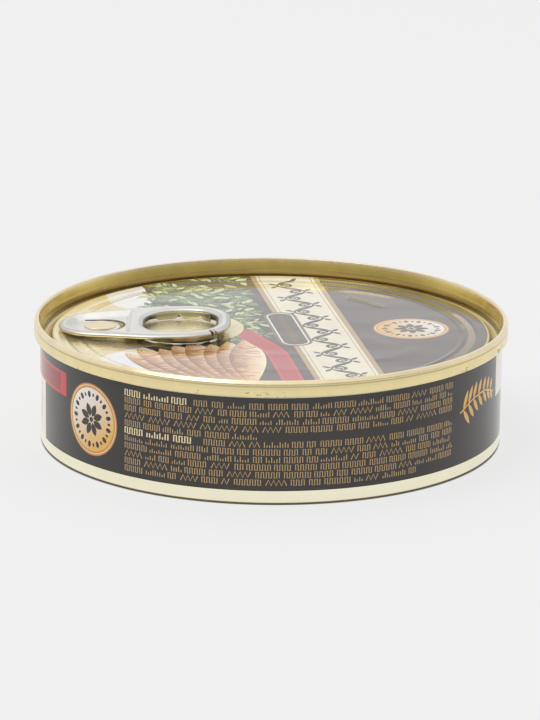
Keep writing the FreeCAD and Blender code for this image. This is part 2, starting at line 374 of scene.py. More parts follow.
def densified(outline, spacing):
    """The closed outline with points added so that no side is longer than the spacing."""
    ends = np.roll(outline, -1, axis=0)
    counts = np.maximum(1, np.ceil(np.linalg.norm(ends - outline, axis=1) / spacing)).astype(int)
    starts = np.repeat(outline, counts, axis=0)
    sides = np.repeat(ends - outline, counts, axis=0)
    first = np.repeat(np.cumsum(counts) - counts, counts)
    share = (np.arange(counts.sum()) - first) / np.repeat(counts, counts)
    return starts + sides * share[:, None]


def smooth_path(knots, count):
    """Catmull-Rom curve: on each span a cubic whose slope at a knot is half the way from the
    knot before it to the knot after it."""
    knots = np.array(knots, float)
    padded = np.vstack([2 * knots[0] - knots[1], knots, 2 * knots[-1] - knots[-2]])
    t = np.linspace(0, len(knots) - 1, count)
    span = np.minimum(t.astype(int), len(knots) - 2)
    f = (t - span)[:, None]
    a, b, c, d = (padded[span + k] for k in range(4))
    return 0.5 * (2 * b + (c - a) * f + (2 * a - 5 * b + 4 * c - d) * f**2
                  + (3 * b - a - 3 * c + d) * f**3)


def turned_by(points, angle):
    """Plane points turned about the origin: (x cos - y sin, x sin + y cos)."""
    return points * math.cos(angle) + left_of(points) * math.sin(angle)


def ellipse(centre, radii, turn=0.0, count=48):
    """Points centre + (a cos t, b sin t), turned."""
    t = np.linspace(0, 2 * math.pi, count, endpoint=False)
    return np.array(centre) + turned_by(heading(t) * radii, turn)


def rectangle(left, low, right, high):
    """Corners of an upright rectangle."""
    return np.array([(left, low), (right, low), (right, high), (left, high)], float)


def rounded_box(centre, half_sizes, radius, turn=0.0):
    """Rectangle about a centre, with round corners, turned."""
    a, b = half_sizes
    line, _ = rounded_line([(-a, -b, radius), (a, -b, radius), (a, b, radius), (-a, b, radius)], True)
    return np.array(centre) + turned_by(line, turn)


def strip(path, widths):
    """Band along a path: each point moved half the width to both sides of the path's direction."""
    half = np.broadcast_to(widths, len(path))[:, None] / 2
    across = left_of(unit(np.gradient(path, axis=0))) * half
    return np.vstack([path - across, (path + across)[::-1]])


def leaf(root, turn, size, width, count=5):
    """Pointed leaf: half its width is width / 2 * sin(pi t)^0.8 along its length."""
    t = np.linspace(0, 1, count + 2)
    half = width / 2 * np.sin(math.pi * t) ** 0.8
    lower = np.stack([t * size, -half], 1)[:-1]
    upper = np.stack([t * size, half], 1)[:0:-1]
    return np.array(root) + turned_by(np.vstack([lower, upper]), turn)


def staggered(columns, rows, shift):
    """Points where columns and rows cross, with every second row shifted sideways."""
    x, y = np.meshgrid(columns, rows)
    x = x + (np.arange(len(rows)) % 2)[:, None] * shift
    return np.stack([x.ravel(), y.ravel()], 1)


# ------------------------------------------------------------------ print laid into a surface

def area_of(outline):
    """Area inside a closed outline, positive when it runs counter-clockwise."""
    x, y = outline[:, 0], outline[:, 1]
    return np.sum(x * np.roll(y, -1) - np.roll(x, -1) * y) / 2


class Print:
    """Flat shapes in painter's order: the last one added shows on top.

    An ink is four numbers, with the share of the metal it covers as the fourth, or a function
    that gives those four for an array of points.
    """

    def __init__(self):
        self.outlines = []
        self.inks = []

    def add(self, outline, ink):
        """Lays a shape on top of the others."""
        self.outlines.append(outline if area_of(outline) > 0 else outline[::-1])
        self.inks.append(ink)

    def keep_within(self, radius):
        """Where an outline runs outside the radius, puts an arc at the radius in its place."""
        outlines, inks = [], []
        for count, (outline, ink) in enumerate(zip(self.outlines, self.inks)):
            if np.hypot(outline[:, 0], outline[:, 1]).max() > radius + SLACK:
                outline = densified(outline, 0.4)
                if np.hypot(outline[:, 0], outline[:, 1]).min() > radius:
                    continue
                outline = round_off(outline, radius - CLIP_STAGGER * (count % 7))
                if area_of(outline) < SMALLEST_SHAPE:
                    continue
            outlines.append(outline)
            inks.append(ink)
        self.outlines, self.inks = outlines, inks


def round_off(outline, radius):
    """A closed outline with each run of points beyond the radius laid on the arc between the
    run's first and last bearing."""
    reach = np.hypot(outline[:, 0], outline[:, 1])
    start = int(np.argmax(reach <= radius + SLACK))
    outline = np.roll(outline, -start, axis=0)
    reach = np.roll(reach, -start)
    outside = reach > radius + SLACK
    edges = np.flatnonzero(np.diff(np.concatenate([[False], outside, [False]]).astype(int)))
    for first, last in zip(edges[::2], edges[1::2]):
        bearings = np.unwrap(np.arctan2(outline[first:last, 1], outline[first:last, 0]))
        even = np.linspace(bearings[0], bearings[-1], last - first)
        outline[first:last] = radius * heading(even)
    return outline


def overlay(field, shapes, spots, spacing):
    """Splits a flat field along every outline laid on it.

    The outlines and loose spots become one constrained Delaunay triangulation.  A triangle takes
    the ink of the last shape that covers it, and is bare where none does.  A shape that came
    out much larger than its outline was turned inside out and is left off.  Sides longer than
    the spacing get points in between, so that they can follow a curved surface.  Returns the
    points, the triangles and the four ink numbers of every triangle corner.
    """
    outlines = [field, *(densified(outline, spacing) for outline in shapes.outlines)]
    ends = np.cumsum([len(outline) for outline in outlines])
    corners = np.concatenate([*outlines, spots])
    rings = [list(range(end - len(outline), end)) for end, outline in zip(ends, outlines)]
    points, _, faces, _, _, owners = delaunay_2d_cdt(
        [Vector(corner) for corner in corners.tolist()], [], rings, TRIANGLES_INSIDE, OVERLAY_ERROR)
    points = np.array([point[:] for point in points])
    triangles = np.array(faces)
    a, b, c = (points[triangles[:, k]] for k in range(3))
    ab, ac = b - a, c - a
    doubled = ab[:, 0] * ac[:, 1] - ab[:, 1] * ac[:, 0]
    triangles[doubled < 0] = triangles[doubled < 0][:, ::-1]
    shares = np.repeat(np.abs(doubled) / 2, [len(owner) for owner in owners])
    areas = np.bincount(np.concatenate(owners).astype(int), shares, len(outlines))
    sound = areas < 1.5 * np.array([area_of(outline) for outline in outlines]) + 0.5
    inside = np.array([0 in owner for owner in owners])
    top = np.array([max([0, *(shape for shape in owner if sound[shape])]) for owner in owners])
    top, triangles = top[inside], triangles[inside]
    plain = [BARE] + [BARE if callable(ink) else ink for ink in shapes.inks]
    inks = np.repeat(np.array(plain)[top][:, None], 3, axis=1)
    for shape, ink in enumerate(shapes.inks, 1):
        covered = top == shape
        if callable(ink) and covered.any():
            inks[covered] = ink(points[triangles[covered]].reshape(-1, 2)).reshape(-1, 3, 4)
    return points, triangles, inks


def blend(first, second, share):
    """Ink between two inks, for an array of shares from 0 to 1."""
    share = np.clip(share, 0, 1)[:, None]
    return np.array(first) * (1 - share) + np.array(second) * share


def mixed(first, second, share):
    """One ink between two inks."""
    return tuple(blend(first, second, np.array([share]))[0])


def fade(first, second, start, end):
    """Ink that changes evenly from one point to another."""
    start, way = np.array(start, float), np.array(end, float) - np.array(start, float)
    return lambda points: blend(first, second, (points - start) @ way / (way @ way))


# ------------------------------------------------------------------ surfaces and pieces

class Patch:
    """Part of a surface: points, faces of three or four corners, outward normals of the points,
    and inks of the face corners."""

    def __init__(self, points, faces, normals=None, inks=None):
        self.points = points
        self.faces = faces
        self.normals = normals
        self.inks = np.broadcast_to(np.array(BARE), (*faces.shape, 4)) if inks is None else inks


def grid_faces(rows, columns):
    """Four-cornered faces between neighbouring closed rows of points."""
    row = np.arange(rows - 1)[:, None] * columns
    column = np.arange(columns)
    beside = (column + 1) % columns
    faces = np.stack([row + column, row + beside, row + columns + beside, row + columns + column], -1)
    return faces.reshape(-1, 4)


def turned(profile, normals, inks=None):
    """Surface of revolution: point (r, z) goes to (r cos t, r sin t, z) for equal steps of t.

    Inks are four numbers for each profile point.
    """
    t = np.arange(SEGMENTS) * 2 * math.pi / SEGMENTS

    def spun(line):
        r, z = line[:, :1], line[:, 1:]
        return np.stack([r * np.cos(t), r * np.sin(t), z + 0 * t], -1).reshape(-1, 3)

    faces = grid_faces(len(profile), SEGMENTS)
    if inks is not None:
        inks = np.repeat(inks, SEGMENTS, axis=0)[faces]
    return Patch(spun(profile), faces, spun(normals), inks)


def welded(points):
    """Index of the first of each set of equal points, and every point's number among the sets."""
    keys = np.round(points * WELD_GRID).astype(np.int64)
    _, first, merged = np.unique(keys, axis=0, return_index=True, return_inverse=True)
    return first, merged.reshape(-1)


def smooth_together(patches):
    """Gives patches one set of normals, so that no seam shows where they meet: at each point the
    sum of the cross products of the faces round it."""
    first, merged = welded(np.concatenate([patch.points for patch in patches]))
    total = np.zeros((len(first), 3))
    starts = np.cumsum([0] + [len(patch.points) for patch in patches])
    for patch, start in zip(patches, starts):
        a, b, c = (patch.points[patch.faces[:, k]] for k in (0, 1, -1))
        across = np.cross(b - a, c - a)
        for k in range(patch.faces.shape[1]):
            np.add.at(total, merged[patch.faces[:, k] + start], across)
    total = unit(np.where(np.abs(total).sum(1, keepdims=True) > 0, total, [0, 0, 1.0]))
    for patch, start in zip(patches, starts):
        patch.normals = total[merged[start:start + len(patch.points)]]


def make_piece(name, patches, material, replaced):
    """One closed mesh of all patches: equal points are merged, and faces that collapse to a line
    are dropped; a four-cornered face that loses one side stays as a triangle.  Each face corner
    keeps its patch's own normal, so true edges stay sharp."""
    counts = [len(patch.points) for patch in patches]
    points = np.concatenate([patch.points for patch in patches])
    first, merged = welded(points)
    faces, normals, inks = [], [], []
    for patch, start in zip(patches, np.cumsum(counts) - counts):
        corners = merged[patch.faces + start]
        facings = patch.normals[patch.faces]
        same_as_next = corners == np.roll(corners, -1, axis=1)
        kept_sets = [(~same_as_next.any(1), list(range(corners.shape[1])))]
        if corners.shape[1] == 4:
            once = same_as_next.sum(1) == 1
            kept_sets += [(same_as_next[:, k] & once, [j for j in range(4) if j != k]) for k in range(4)]
        for chosen, kept in kept_sets:
            faces += corners[chosen][:, kept].tolist()
            normals.append(facings[chosen][:, kept].reshape(-1, 3))
            inks.append(patch.inks[chosen][:, kept].reshape(-1, 4))
    mesh = bpy.data.meshes.new(name)
    mesh.from_pydata((points[first] * MM).tolist(), [], faces)
    mesh.shade_smooth()
    cover = mesh.color_attributes.new(name="ink", type="FLOAT_COLOR", domain="CORNER")
    cover.data.foreach_set("color", np.concatenate(inks).astype(np.float32).ravel())
    mesh.normals_split_custom_set(np.concatenate(normals).tolist())
    mesh.materials.append(material)
    piece = bpy.data.objects.new(name, mesh)
    bpy.context.scene.collection.objects.link(piece)
    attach(piece, BODY)
    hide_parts(replaced)
    return piece


# ------------------------------------------------------------------ shader parts

class Nodes:
    """Short ways to add and join nodes in one tree."""

    def __init__(self, tree):
        self.tree = tree

    def add(self, kind, inputs=None, **settings):
        """New node with its settings, and values or links for its inputs."""
        node = self.tree.nodes.new(kind)
        for key, value in settings.items():
            setattr(node, key, value)
        for key, value in (inputs or {}).items():
            self.plug(node.inputs[key], value)
        return node

    def plug(self, socket, value):
        """Links an output to a socket, or sets the socket to a fixed value."""
        if isinstance(value, bpy.types.NodeSocket):
            self.tree.links.new(value, socket)
        else:
            socket.default_value = value

    def maths(self, operation, *values):
        """One operation on numbers."""
        node = self.add("ShaderNodeMath", operation=operation)
        for socket, value in zip(node.inputs, values):
            self.plug(socket, value)
        return node.outputs[0]

    def between(self, value, low, high, to_low=0.0, to_high=1.0):
        """The value's place between two limits, clamped and eased."""
        node = self.add("ShaderNodeMapRange", {
            "Value": value, "From Min": low, "From Max": high, "To Min": to_low, "To Max": to_high,
        }, interpolation_type="SMOOTHSTEP")
        return node.outputs["Result"]

    def mix(self, share, first, second, blend_type="MIX"):
        """Colour from first at share 0 to second at share 1."""
        node = self.add("ShaderNodeMix", {0: share, 6: first, 7: second},
                        data_type="RGBA", blend_type=blend_type)
        return node.outputs[2]

    def mix_values(self, share, first, second):
        """Number from first at share 0 to second at share 1."""
        node = self.add("ShaderNodeMix", {0: share, 2: first, 3: second}, data_type="FLOAT")
        return node.outputs[0]

    def stretched(self, vector, scale):
        """Vector multiplied part by part."""
        node = self.add("ShaderNodeVectorMath", {0: vector, 1: scale}, operation="MULTIPLY")
        return node.outputs[0]

    def tinted(self, first, second):
        """The two colours multiplied."""
        return self.mix(1.0, first, second, "MULTIPLY")

    def noise(self, vector, scale, detail=2.0, roughness=0.5):
        """Cloud-like pattern of numbers from 0 to 1."""
        node = self.add("ShaderNodeTexNoise", {
            "Vector": vector, "Scale": scale, "Detail": detail, "Roughness": roughness})
        return node.outputs["Fac"]

    def bump(self, height, strength, distance):
        """Normals tilted by the slope of a height."""
        node = self.add("ShaderNodeBump", {"Height": height, "Strength": strength, "Distance": distance})
        return node.outputs["Normal"]


def new_group(name, inputs, outputs):
    """Shader node group with named sockets; returns its node helper, input and output nodes."""
    tree = bpy.data.node_groups.new(name, "ShaderNodeTree")
    for socket, kind in inputs.items():
        tree.interface.new_socket(socket, in_out="INPUT", socket_type=kind)
    for socket in outputs:
        tree.interface.new_socket(socket, in_out="OUTPUT", socket_type="NodeSocketFloat")
    nodes = Nodes(tree)
    return nodes, nodes.add("NodeGroupInput").outputs, nodes.add("NodeGroupOutput").inputs


def sheet_grain():
    """Rolling streaks, fine orange peel and slow mottling of tinned sheet, and wide soft clouds."""
    nodes, given, result = new_group("sheet grain", {
        "Place": "NodeSocketVector", "Stretch": "NodeSocketVector",
    }, ("Streaks", "Peel", "Mottle", "Clouds"))
    along = nodes.stretched(given["Place"], given["Stretch"])
    nodes.plug(result["Streaks"], nodes.noise(along, 1.0, 3.0, 0.6))
    nodes.plug(result["Peel"], nodes.noise(given["Place"], 700.0, 2.0))
    nodes.plug(result["Mottle"], nodes.noise(given["Place"], 200.0, 4.0, 0.6))
    wide = nodes.stretched(given["Place"], (24.0, 80.0, 80.0))
    nodes.plug(result["Clouds"], nodes.noise(wide, 1.0, 2.0, 0.45))
    return nodes.tree


def specks():
    """Round specks: the cells of a Voronoi pattern that draw a low lot, near their centres."""
    nodes, given, result = new_group("specks", {
        "Place": "NodeSocketVector", "Scale": "NodeSocketFloat",
        "Share": "NodeSocketFloat", "Size": "NodeSocketFloat",
    }, ("Mask",))
    cells = nodes.add("ShaderNodeTexVoronoi", {"Vector": given["Place"], "Scale": given["Scale"]})
    lot = nodes.add("ShaderNodeSeparateColor", {"Color": cells.outputs["Color"]})
    drawn = nodes.maths("LESS_THAN", lot.outputs["Red"], given["Share"])
    size = nodes.maths("MULTIPLY", given["Size"], lot.outputs["Green"])
    near = nodes.maths("LESS_THAN", cells.outputs["Distance"], size)
    nodes.plug(result["Mask"], nodes.maths("MULTIPLY", drawn, near))
    return nodes.tree


def scuffs():
    """Worn patches: a ragged noise above a limit, inside a band of heights and beyond a reach
    from the axis."""
    nodes, given, result = new_group("scuffs", {
        "Place": "NodeSocketVector", "Low": "NodeSocketFloat", "High": "NodeSocketFloat",
        "Reach": "NodeSocketFloat", "Limit": "NodeSocketFloat",
    }, ("Mask",))
    height = nodes.add("ShaderNodeSeparateXYZ", {"Vector": given["Place"]}).outputs["Z"]
    flat = nodes.stretched(given["Place"], (1.0, 1.0, 0.0))
    reach = nodes.add("ShaderNodeVectorMath", {0: flat}, operation="LENGTH").outputs["Value"]
    outside = nodes.maths("GREATER_THAN", reach, given["Reach"])
    ragged = nodes.noise(nodes.stretched(given["Place"], (1.0, 1.0, 1.6)), 900.0, 4.0, 0.7)
    where = nodes.noise(given["Place"], 70.0, 1.0)
    total = nodes.maths("MULTIPLY", ragged, where)
    worn = nodes.between(total, given["Limit"], nodes.maths("ADD", given["Limit"], 0.04))
    above = nodes.maths("GREATER_THAN", height, given["Low"])
    below = nodes.maths("LESS_THAN", height, given["High"])
    band = nodes.maths("MULTIPLY", outside, nodes.maths("MULTIPLY", above, below))
    nodes.plug(result["Mask"], nodes.maths("MULTIPLY", worn, band))
    return nodes.tree


EFFECTS = {"sheet grain": sheet_grain, "specks": specks, "scuffs": scuffs}


def use_effect(nodes, name, inputs):
    """Outputs of an effect's node group, which is built when it is first used."""
    tree = bpy.data.node_groups.get(name) or EFFECTS[name]()
    return nodes.add("ShaderNodeGroup", inputs, node_tree=tree).outputs


def new_material(name):
    """Material with its Principled shader joined to the output; returns it, its node helper and
    that shader's inputs."""
    material = bpy.data.materials.new(name)
    material.use_nodes = True
    nodes = Nodes(material.node_tree)
    material.node_tree.nodes.clear()
    shader = nodes.add("ShaderNodeBsdfPrincipled")
    output = nodes.add("ShaderNodeOutputMaterial")
    nodes.plug(output.inputs["Surface"], shader.outputs["BSDF"])
    return material, nodes, shader.inputs


def sheet_parts(nodes, stretch, dust_scale, dust_share):
    """What both metals share: places on the piece, the ink attribute, the sheet's grain and dust."""
    place = nodes.add("ShaderNodeTexCoord").outputs["Object"]
    ink = nodes.add("ShaderNodeAttribute", attribute_name="ink", attribute_type="GEOMETRY").outputs
    grain = use_effect(nodes, "sheet grain", {"Place": place, "Stretch": stretch})
    dust = use_effect(nodes, "specks", {
        "Place": place, "Scale": dust_scale, "Share": dust_share, "Size": 0.16})["Mask"]
    return place, ink, grain, dust


def printed_tin(name, metal, metals, stretch, scuff_band, rough, varnish, mottle):
    """Tinned sheet under ink and clear varnish.

    The ink attribute's colour covers the metal by its fourth number, and tones the bare metal where that
    number is nought; on the lid's turned part these tones are painted light and shade.
    height a little, and dust and scuffs lie on top.  The varnish is thinner over bare metal and
    drifts with the sheet's wide clouds.  The stretch says how fine the streaks are along each
    axis, and the scuff band between which heights the scuffs lie.
    """
    material, nodes, shader = new_material(name)
    place, ink, grain, dust = sheet_parts(nodes, stretch, 420.0, 0.012)
    scuff = use_effect(nodes, "scuffs", {
        "Place": place, "Low": scuff_band[0] * MM, "High": scuff_band[1] * MM,
        "Reach": (SEAM_RADIUS - 0.6) * MM, "Limit": 0.31})["Mask"]
    tone = nodes.between(grain["Mottle"], *NOISE_MIDDLE, mottle, 1.0)
    tone = nodes.maths("MULTIPLY", tone, nodes.between(grain["Streaks"], 0.2, 0.8, 0.985, 1.0))
    sheet = nodes.tinted((*metal, 1), ink["Color"])
    colour = nodes.mix(tone, (0, 0, 0, 1), nodes.mix(ink["Alpha"], sheet, ink["Color"]))
    colour = nodes.mix(nodes.maths("MULTIPLY", scuff, 0.8), colour, (*metals.rust_mark, 1))
    nodes.plug(shader["Base Color"], nodes.mix(dust, colour, (*metals.dust, 1)))
    covered = nodes.maths("MAXIMUM", ink["Alpha"], nodes.maths("MAXIMUM", dust, scuff))
    nodes.plug(shader["Metallic"], nodes.maths("SUBTRACT", 1.0, covered))
    bare_rough = nodes.between(grain["Mottle"], *NOISE_MIDDLE, rough - 0.04, rough + 0.04)
    nodes.plug(shader["Roughness"], nodes.mix_values(ink["Alpha"], bare_rough, INK_ROUGHNESS))
    coat = nodes.between(ink["Alpha"], 0.0, 1.0, varnish * 0.7, varnish)
    cloudy = nodes.between(grain["Clouds"], 0.38, 0.62, 0.72, 1.0)
    nodes.plug(shader["Coat Weight"], nodes.maths("MULTIPLY", coat, cloudy))
    shader["Coat Roughness"].default_value = COAT_ROUGHNESS
    height = nodes.maths("ADD", nodes.maths("MULTIPLY", grain["Streaks"], 0.7),
                         nodes.maths("MULTIPLY", grain["Peel"], 0.5))
    height = nodes.maths("ADD", height, nodes.maths("MULTIPLY", dust, 6.0))
    facing = nodes.bump(height, 0.5, 1.4e-6)
    nodes.plug(shader["Normal"], facing)
    nodes.plug(shader["Coat Normal"], facing)
    return material


def pressed_steel(metals):
    """Pull tab: bright pressed steel above, gold lacquer where the ink attribute says so."""
    material, nodes, shader = new_material("pressed steel")
    _, gilt, grain, dust = sheet_parts(nodes, (150, 2200, 1500), 500.0, 0.01)
    tone = nodes.between(grain["Mottle"], *NOISE_MIDDLE, 0.93, 1.0)
    colour = nodes.mix(gilt["Alpha"], (*metals.steel, 1), (*metals.tab_gold, 1))
    # the ink's grey carries the painted shade of the tab's pieces
    colour = nodes.tinted(colour, gilt["Color"])
    colour = nodes.mix(tone, (0, 0, 0, 1), colour)
    nodes.plug(shader["Base Color"], nodes.mix(dust, colour, (*metals.dust, 1)))
    nodes.plug(shader["Metallic"], nodes.maths("SUBTRACT", 1.0, dust))
    nodes.plug(shader["Roughness"], nodes.between(grain["Mottle"], *NOISE_MIDDLE, 0.3, 0.42))
    height = nodes.maths("ADD", nodes.maths("MULTIPLY", grain["Streaks"], 0.6), grain["Peel"])
    nodes.plug(shader["Normal"], nodes.bump(height, 0.6, 4.0e-6))
    return material


# ------------------------------------------------------------------ generic printed ornament

def roundel(shapes, inks, centre, radius, turn):
    """Round badge: amber border, pale ring, a ground from white to gold, a ring of small marks
    and an eight-petalled rosette with a round eye."""
    centre = np.array(centre, float)
    away = turned_by(np.array([[0.5, -0.8]]), turn)[0] * radius
    rim = ((1.0, inks.amber), (0.955, inks.pale_gold), (0.93, inks.amber), (0.885, inks.gold))
    for share, ink in rim:
        shapes.add(ellipse(centre, (radius * share,) * 2, count=96), ink)
    shapes.add(ellipse(centre, (radius * 0.87,) * 2, count=96),
               fade(inks.white, inks.gold, centre - away * 0.9, centre + away * 0.75))
    for mark in range(26):
        angle = turn + mark * 2 * math.pi / 26
        spot = centre + 0.7 * radius * heading(angle)
        size = radius * (0.062 if mark % 2 else 0.036)
        shapes.add(ellipse(spot, (size * 1.5, size), angle, 12), inks.black)
    for petal in range(8):
        angle = turn + (petal + 0.5) * math.pi / 4
        root = centre + 0.09 * radius * heading(angle)
        shapes.add(leaf(root, angle, radius * 0.38, radius * 0.2), inks.black)
    shapes.add(ellipse(centre, (radius * 0.075,) * 2, count=16), inks.black)


def stroke_row(shapes, dice, left, right, level, height, pitch, weight, ink):
    """Row of fine ornament in word-like groups, never letters: a running battlement, a zigzag or
    upright ticks of uneven height."""
    place = left
    foot = level - height / 2
    while place < right - 3 * pitch:
        steps = min(int(dice.integers(4, 12)), int((right - place) / pitch))
        x = place + np.arange(steps) * pitch
        lot = dice.random()
        if lot < 0.5:
            corners = [(x[k // 2], foot + height * ((k + 1) // 2 % 2)) for k in range(2 * steps)]
            shapes.add(strip(np.array(corners), weight), ink)
        elif lot < 0.72:
            corners = np.stack([x, foot + height * (np.arange(steps) % 2)], 1)
            shapes.add(strip(corners, weight * 1.15), ink)
        else:
            for mark in x:
                tall = height * dice.choice((1.0, 0.72, 0.42))
                shapes.add(rectangle(mark - weight / 2, foot, mark + weight / 2, foot + tall), ink)
        place = x[-1] + pitch * dice.uniform(1.5, 2.3)


def sprig(shapes, dice, knots, inks, leaf_size, step):
    """Stem along a curve with leaves on both sides, in uneven greens."""
    path = smooth_path(knots, 60)
    shapes.add(strip(path[::4], 0.22), inks.leaf_dark)
    along = distances_along(path)
    side = 1
    for distance in np.arange(0, along[-1], step):
        root = read_at(distance, along, path)
        ahead = read_at(distance + 0.5, along, path) - root
        turn = math.atan2(ahead[1], ahead[0]) + side * dice.uniform(0.5, 1.1)
        size = leaf_size * dice.uniform(0.7, 1.2)
        lit = dice.choice(3, p=(0.3, 0.42, 0.28))
        ink = (inks.leaf_dark, inks.leaf, inks.leaf_light)[lit]
        shapes.add(leaf(root, turn, size, size * dice.uniform(0.34, 0.5), 4), ink)
        edge = mixed(ink, inks.leaf_light if lit < 2 else inks.white, 0.45)
        shapes.add(leaf(root, turn + 0.12, size * 0.9, size * 0.14, 3), edge)
        side = -side


def small_fish(shapes, dice, tail, turn, size, inks):
    """Smoked fish seen from the side: forked tail, tapering body from dark back to pale belly,
    fine cross strokes, an eye and a gill line."""

    def placed(points):
        """Points along and across the fish, in its lengths, laid on the surface."""
        return np.array(tail) + turned_by(np.array(points, float) * size, turn)

    t = np.linspace(0, 1, 22)
    half = 0.098 * np.sin(math.pi * t ** 1.25) ** 0.75 + 0.018 * (1 - t)
    reach = 0.12 + 0.88 * t
    low = np.stack([reach, -half * 0.9], 1)
    high = np.stack([reach, half], 1)[::-1]
    fork = [(0.16, -0.02), (0.0, -0.085), (0.045, 0.0), (0.0, 0.085), (0.16, 0.02)]
    shapes.add(placed(fork), inks.rust)
    across = turned_by(np.array([[0, 0.1 * size]]), turn)[0]
    middle = placed([(0.6, 0)])[0]

    def sides(points):
        """Belly to back across the body."""
        share = (points - middle) @ across / (across @ across) / 2 + 0.5
        return blend(blend(inks.flesh, inks.rust, share * 1.9 - 0.15), inks.brown, share * 2 - 1.05)

    shapes.add(placed(np.vstack([low, high])), sides)
    for place in np.arange(0.16, 0.85, 0.016):
        width = float(np.interp(place, reach, half))
        lean = dice.uniform(0.004, 0.02)
        top = width * dice.uniform(-0.1, 0.92)
        foot = top - width * dice.uniform(0.25, 0.8)
        ink = (inks.brown, inks.flesh, inks.rust, inks.white)[dice.choice(4, p=(0.3, 0.3, 0.25, 0.15))]
        corners = [(place, foot), (place + 0.007, foot), (place + lean + 0.005, top), (place + lean, top)]
        shapes.add(placed(corners), ink)
    gill = [(0.855 - 0.03 * math.sin(a), 0.055 * math.cos(a)) for a in np.linspace(0.4, 2.7, 7)]
    shapes.add(strip(placed(gill), 0.011 * size), inks.brown)
    shapes.add(ellipse(placed([(0.93, 0.012)])[0], (0.014 * size,) * 2, count=12), inks.flesh)
    shapes.add(ellipse(placed([(0.93, 0.012)])[0], (0.008 * size,) * 2, count=10), inks.black)


def vine(shapes, path_of, span, inks, wave, swing):
    """Running scroll: a wave that swells between its crests.  Inside each crest a spiral, radius
    falling evenly over its turns, ends in a berry, and two leaves stand on the crest."""
    curl_radius = 1.75
    t = np.linspace(span[0], span[1], int((span[1] - span[0]) * 4))
    phase = 2 * math.pi * t / wave
    shapes.add(strip(path_of(t, swing * np.sin(phase)), 0.42 + 0.85 * np.cos(phase) ** 2), inks.black)
    first = math.ceil((span[0] - wave / 4) / (wave / 2))
    for half_turn in range(first, int((span[1] - wave / 4) / (wave / 2)) + 1):
        crest = wave / 4 + half_turn * wave / 2
        side = 1 if math.sin(2 * math.pi * crest / wave) > 0 else -1
        share = np.linspace(0, 1, 26)
        radius = curl_radius * (1 - share) + 0.45 * share
        angle = math.pi / 2 - 8.2 * share
        curl = path_of(crest - 0.15 + radius * np.cos(angle),
                       side * (swing - curl_radius + radius * np.sin(angle)))
        shapes.add(strip(curl, 0.4 + 0.45 * np.sin(math.pi * share) ** 2), inks.black)
        shapes.add(ellipse(curl[-1], (0.5, 0.5), count=12), inks.black)
        for lean in (-1, 1):
            ends = path_of(np.array([crest + 0.3 * lean, crest + 2.1 * lean]),
                           side * np.array([swing + 0.1, swing + 1.7]))
            way = ends[1] - ends[0]
            shapes.add(leaf(ends[0], math.atan2(way[1], way[0]), float(np.hypot(*way)), 1.05), inks.black)


# ------------------------------------------------------------------ body wall and label

BADGE_BEARINGS = (-138.7, 72)
BADGE_LEVEL = 13.1


def around(bearing):
    """Arc length along the body wall from the front middle to a bearing in degrees."""
    return math.radians(bearing + 90) * BODY_RADIUS


def label_picture(shapes, dice, foot, inks):
    """Picture field: fish hanging side by side above a sprig, on white that turns to cream."""
    left, right = around(-252), around(-164.5)
    shapes.add(rectangle(left, foot, right, 16.0), fade(inks.white, inks.cream, (0, 16), (0, foot)))
    for fish in range(7):
        tail = (right - 3.5 - fish * 9.2, 15.0 + 0.7 * (fish % 2))
        small_fish(shapes, dice, tail, -math.pi / 2 - 0.25 + 0.07 * fish, 10.8, inks)
    sprig(shapes, dice, [(left + 2, 5), (left + 12, 7.5), (left + 24, 5)], inks, 2.6, 0.8)


def label_banner(shapes, inks):
    """Banner along the picture field's top: dark red with a bright edge."""
    left, right = around(-252), around(-149.7)
    shapes.add(rectangle(left - 4, 15.75, right, 20.85), inks.red)
    shapes.add(rectangle(left - 3.4, 16.3, right - 3.0, 20.3), inks.dark_red)
    shapes.add(rectangle(right - 3.0, 15.75, right - 2.7, 20.85), inks.dark_red)


def label_strokes(shapes, dice, sizes, inks):
    """Two blocks of stroke rows.  In the first, two rows end early and two begin boldly."""
    early = {4: around(-90.5), 10: around(-52)}
    bold = {0: around(-109.5), 5: around(-107)}
    blocks = ((-127.2, -39.5, early, bold), (4, 58, {}, {}))
    for start, end, ends, bolds in blocks:
        for row, level in enumerate(np.linspace(21.15, 4.85, 11)):
            left, right = around(start), ends.get(row, around(end))
            if row in bolds:
                stroke_row(shapes, dice, left, bolds[row], level, sizes.stroke_height * 1.08,
                           sizes.stroke_pitch * 1.15, 0.3, inks.pale_gold)
                left = bolds[row] + 1.0
            stroke_row(shapes, dice, left, right, level, sizes.stroke_height,
                       sizes.stroke_pitch, 0.185, inks.dim_gold)


def label_branch(shapes, inks):
    """Gold branch with leaves on both sides that get shorter to its tip."""
    knots = ((-37, 14.2), (-31, 16.2), (-24, 16.6), (-18, 15.0))
    stem = smooth_path([(around(bearing), level) for bearing, level in knots], 40)
    shapes.add(strip(stem[::3], 0.35), inks.gold)
    for pair, spot in enumerate(stem[3:-2:5]):
        for side in (-1, 1):
            shapes.add(leaf(spot, side * 1.05 + 0.1, 4.4 - 0.28 * pair, 1.15), inks.gold)


def label_print(sizes, inks):
    """Print round the wall, unrolled: arc length from the front middle, and height."""
    shapes = Print()
    dice = np.random.default_rng(11)
    back = math.pi * BODY_RADIUS
    shapes.add(rectangle(-back, sizes.label_foot, back, sizes.label_top), inks.black)
    label_picture(shapes, dice, sizes.label_foot, inks)
    label_banner(shapes, inks)
    for bearing in BADGE_BEARINGS:
        roundel(shapes, inks, (around(bearing), BADGE_LEVEL), sizes.roundel_radius, 0.0)
    label_strokes(shapes, dice, sizes, inks)
    label_branch(shapes, inks)
    shapes.add(rectangle(around(-15.5), 13.2, around(-6.5), 22.2), inks.white)
    shapes.add(rectangle(around(-14.6), 13.9, around(-7.4), 21.5), inks.cream)
    return shapes


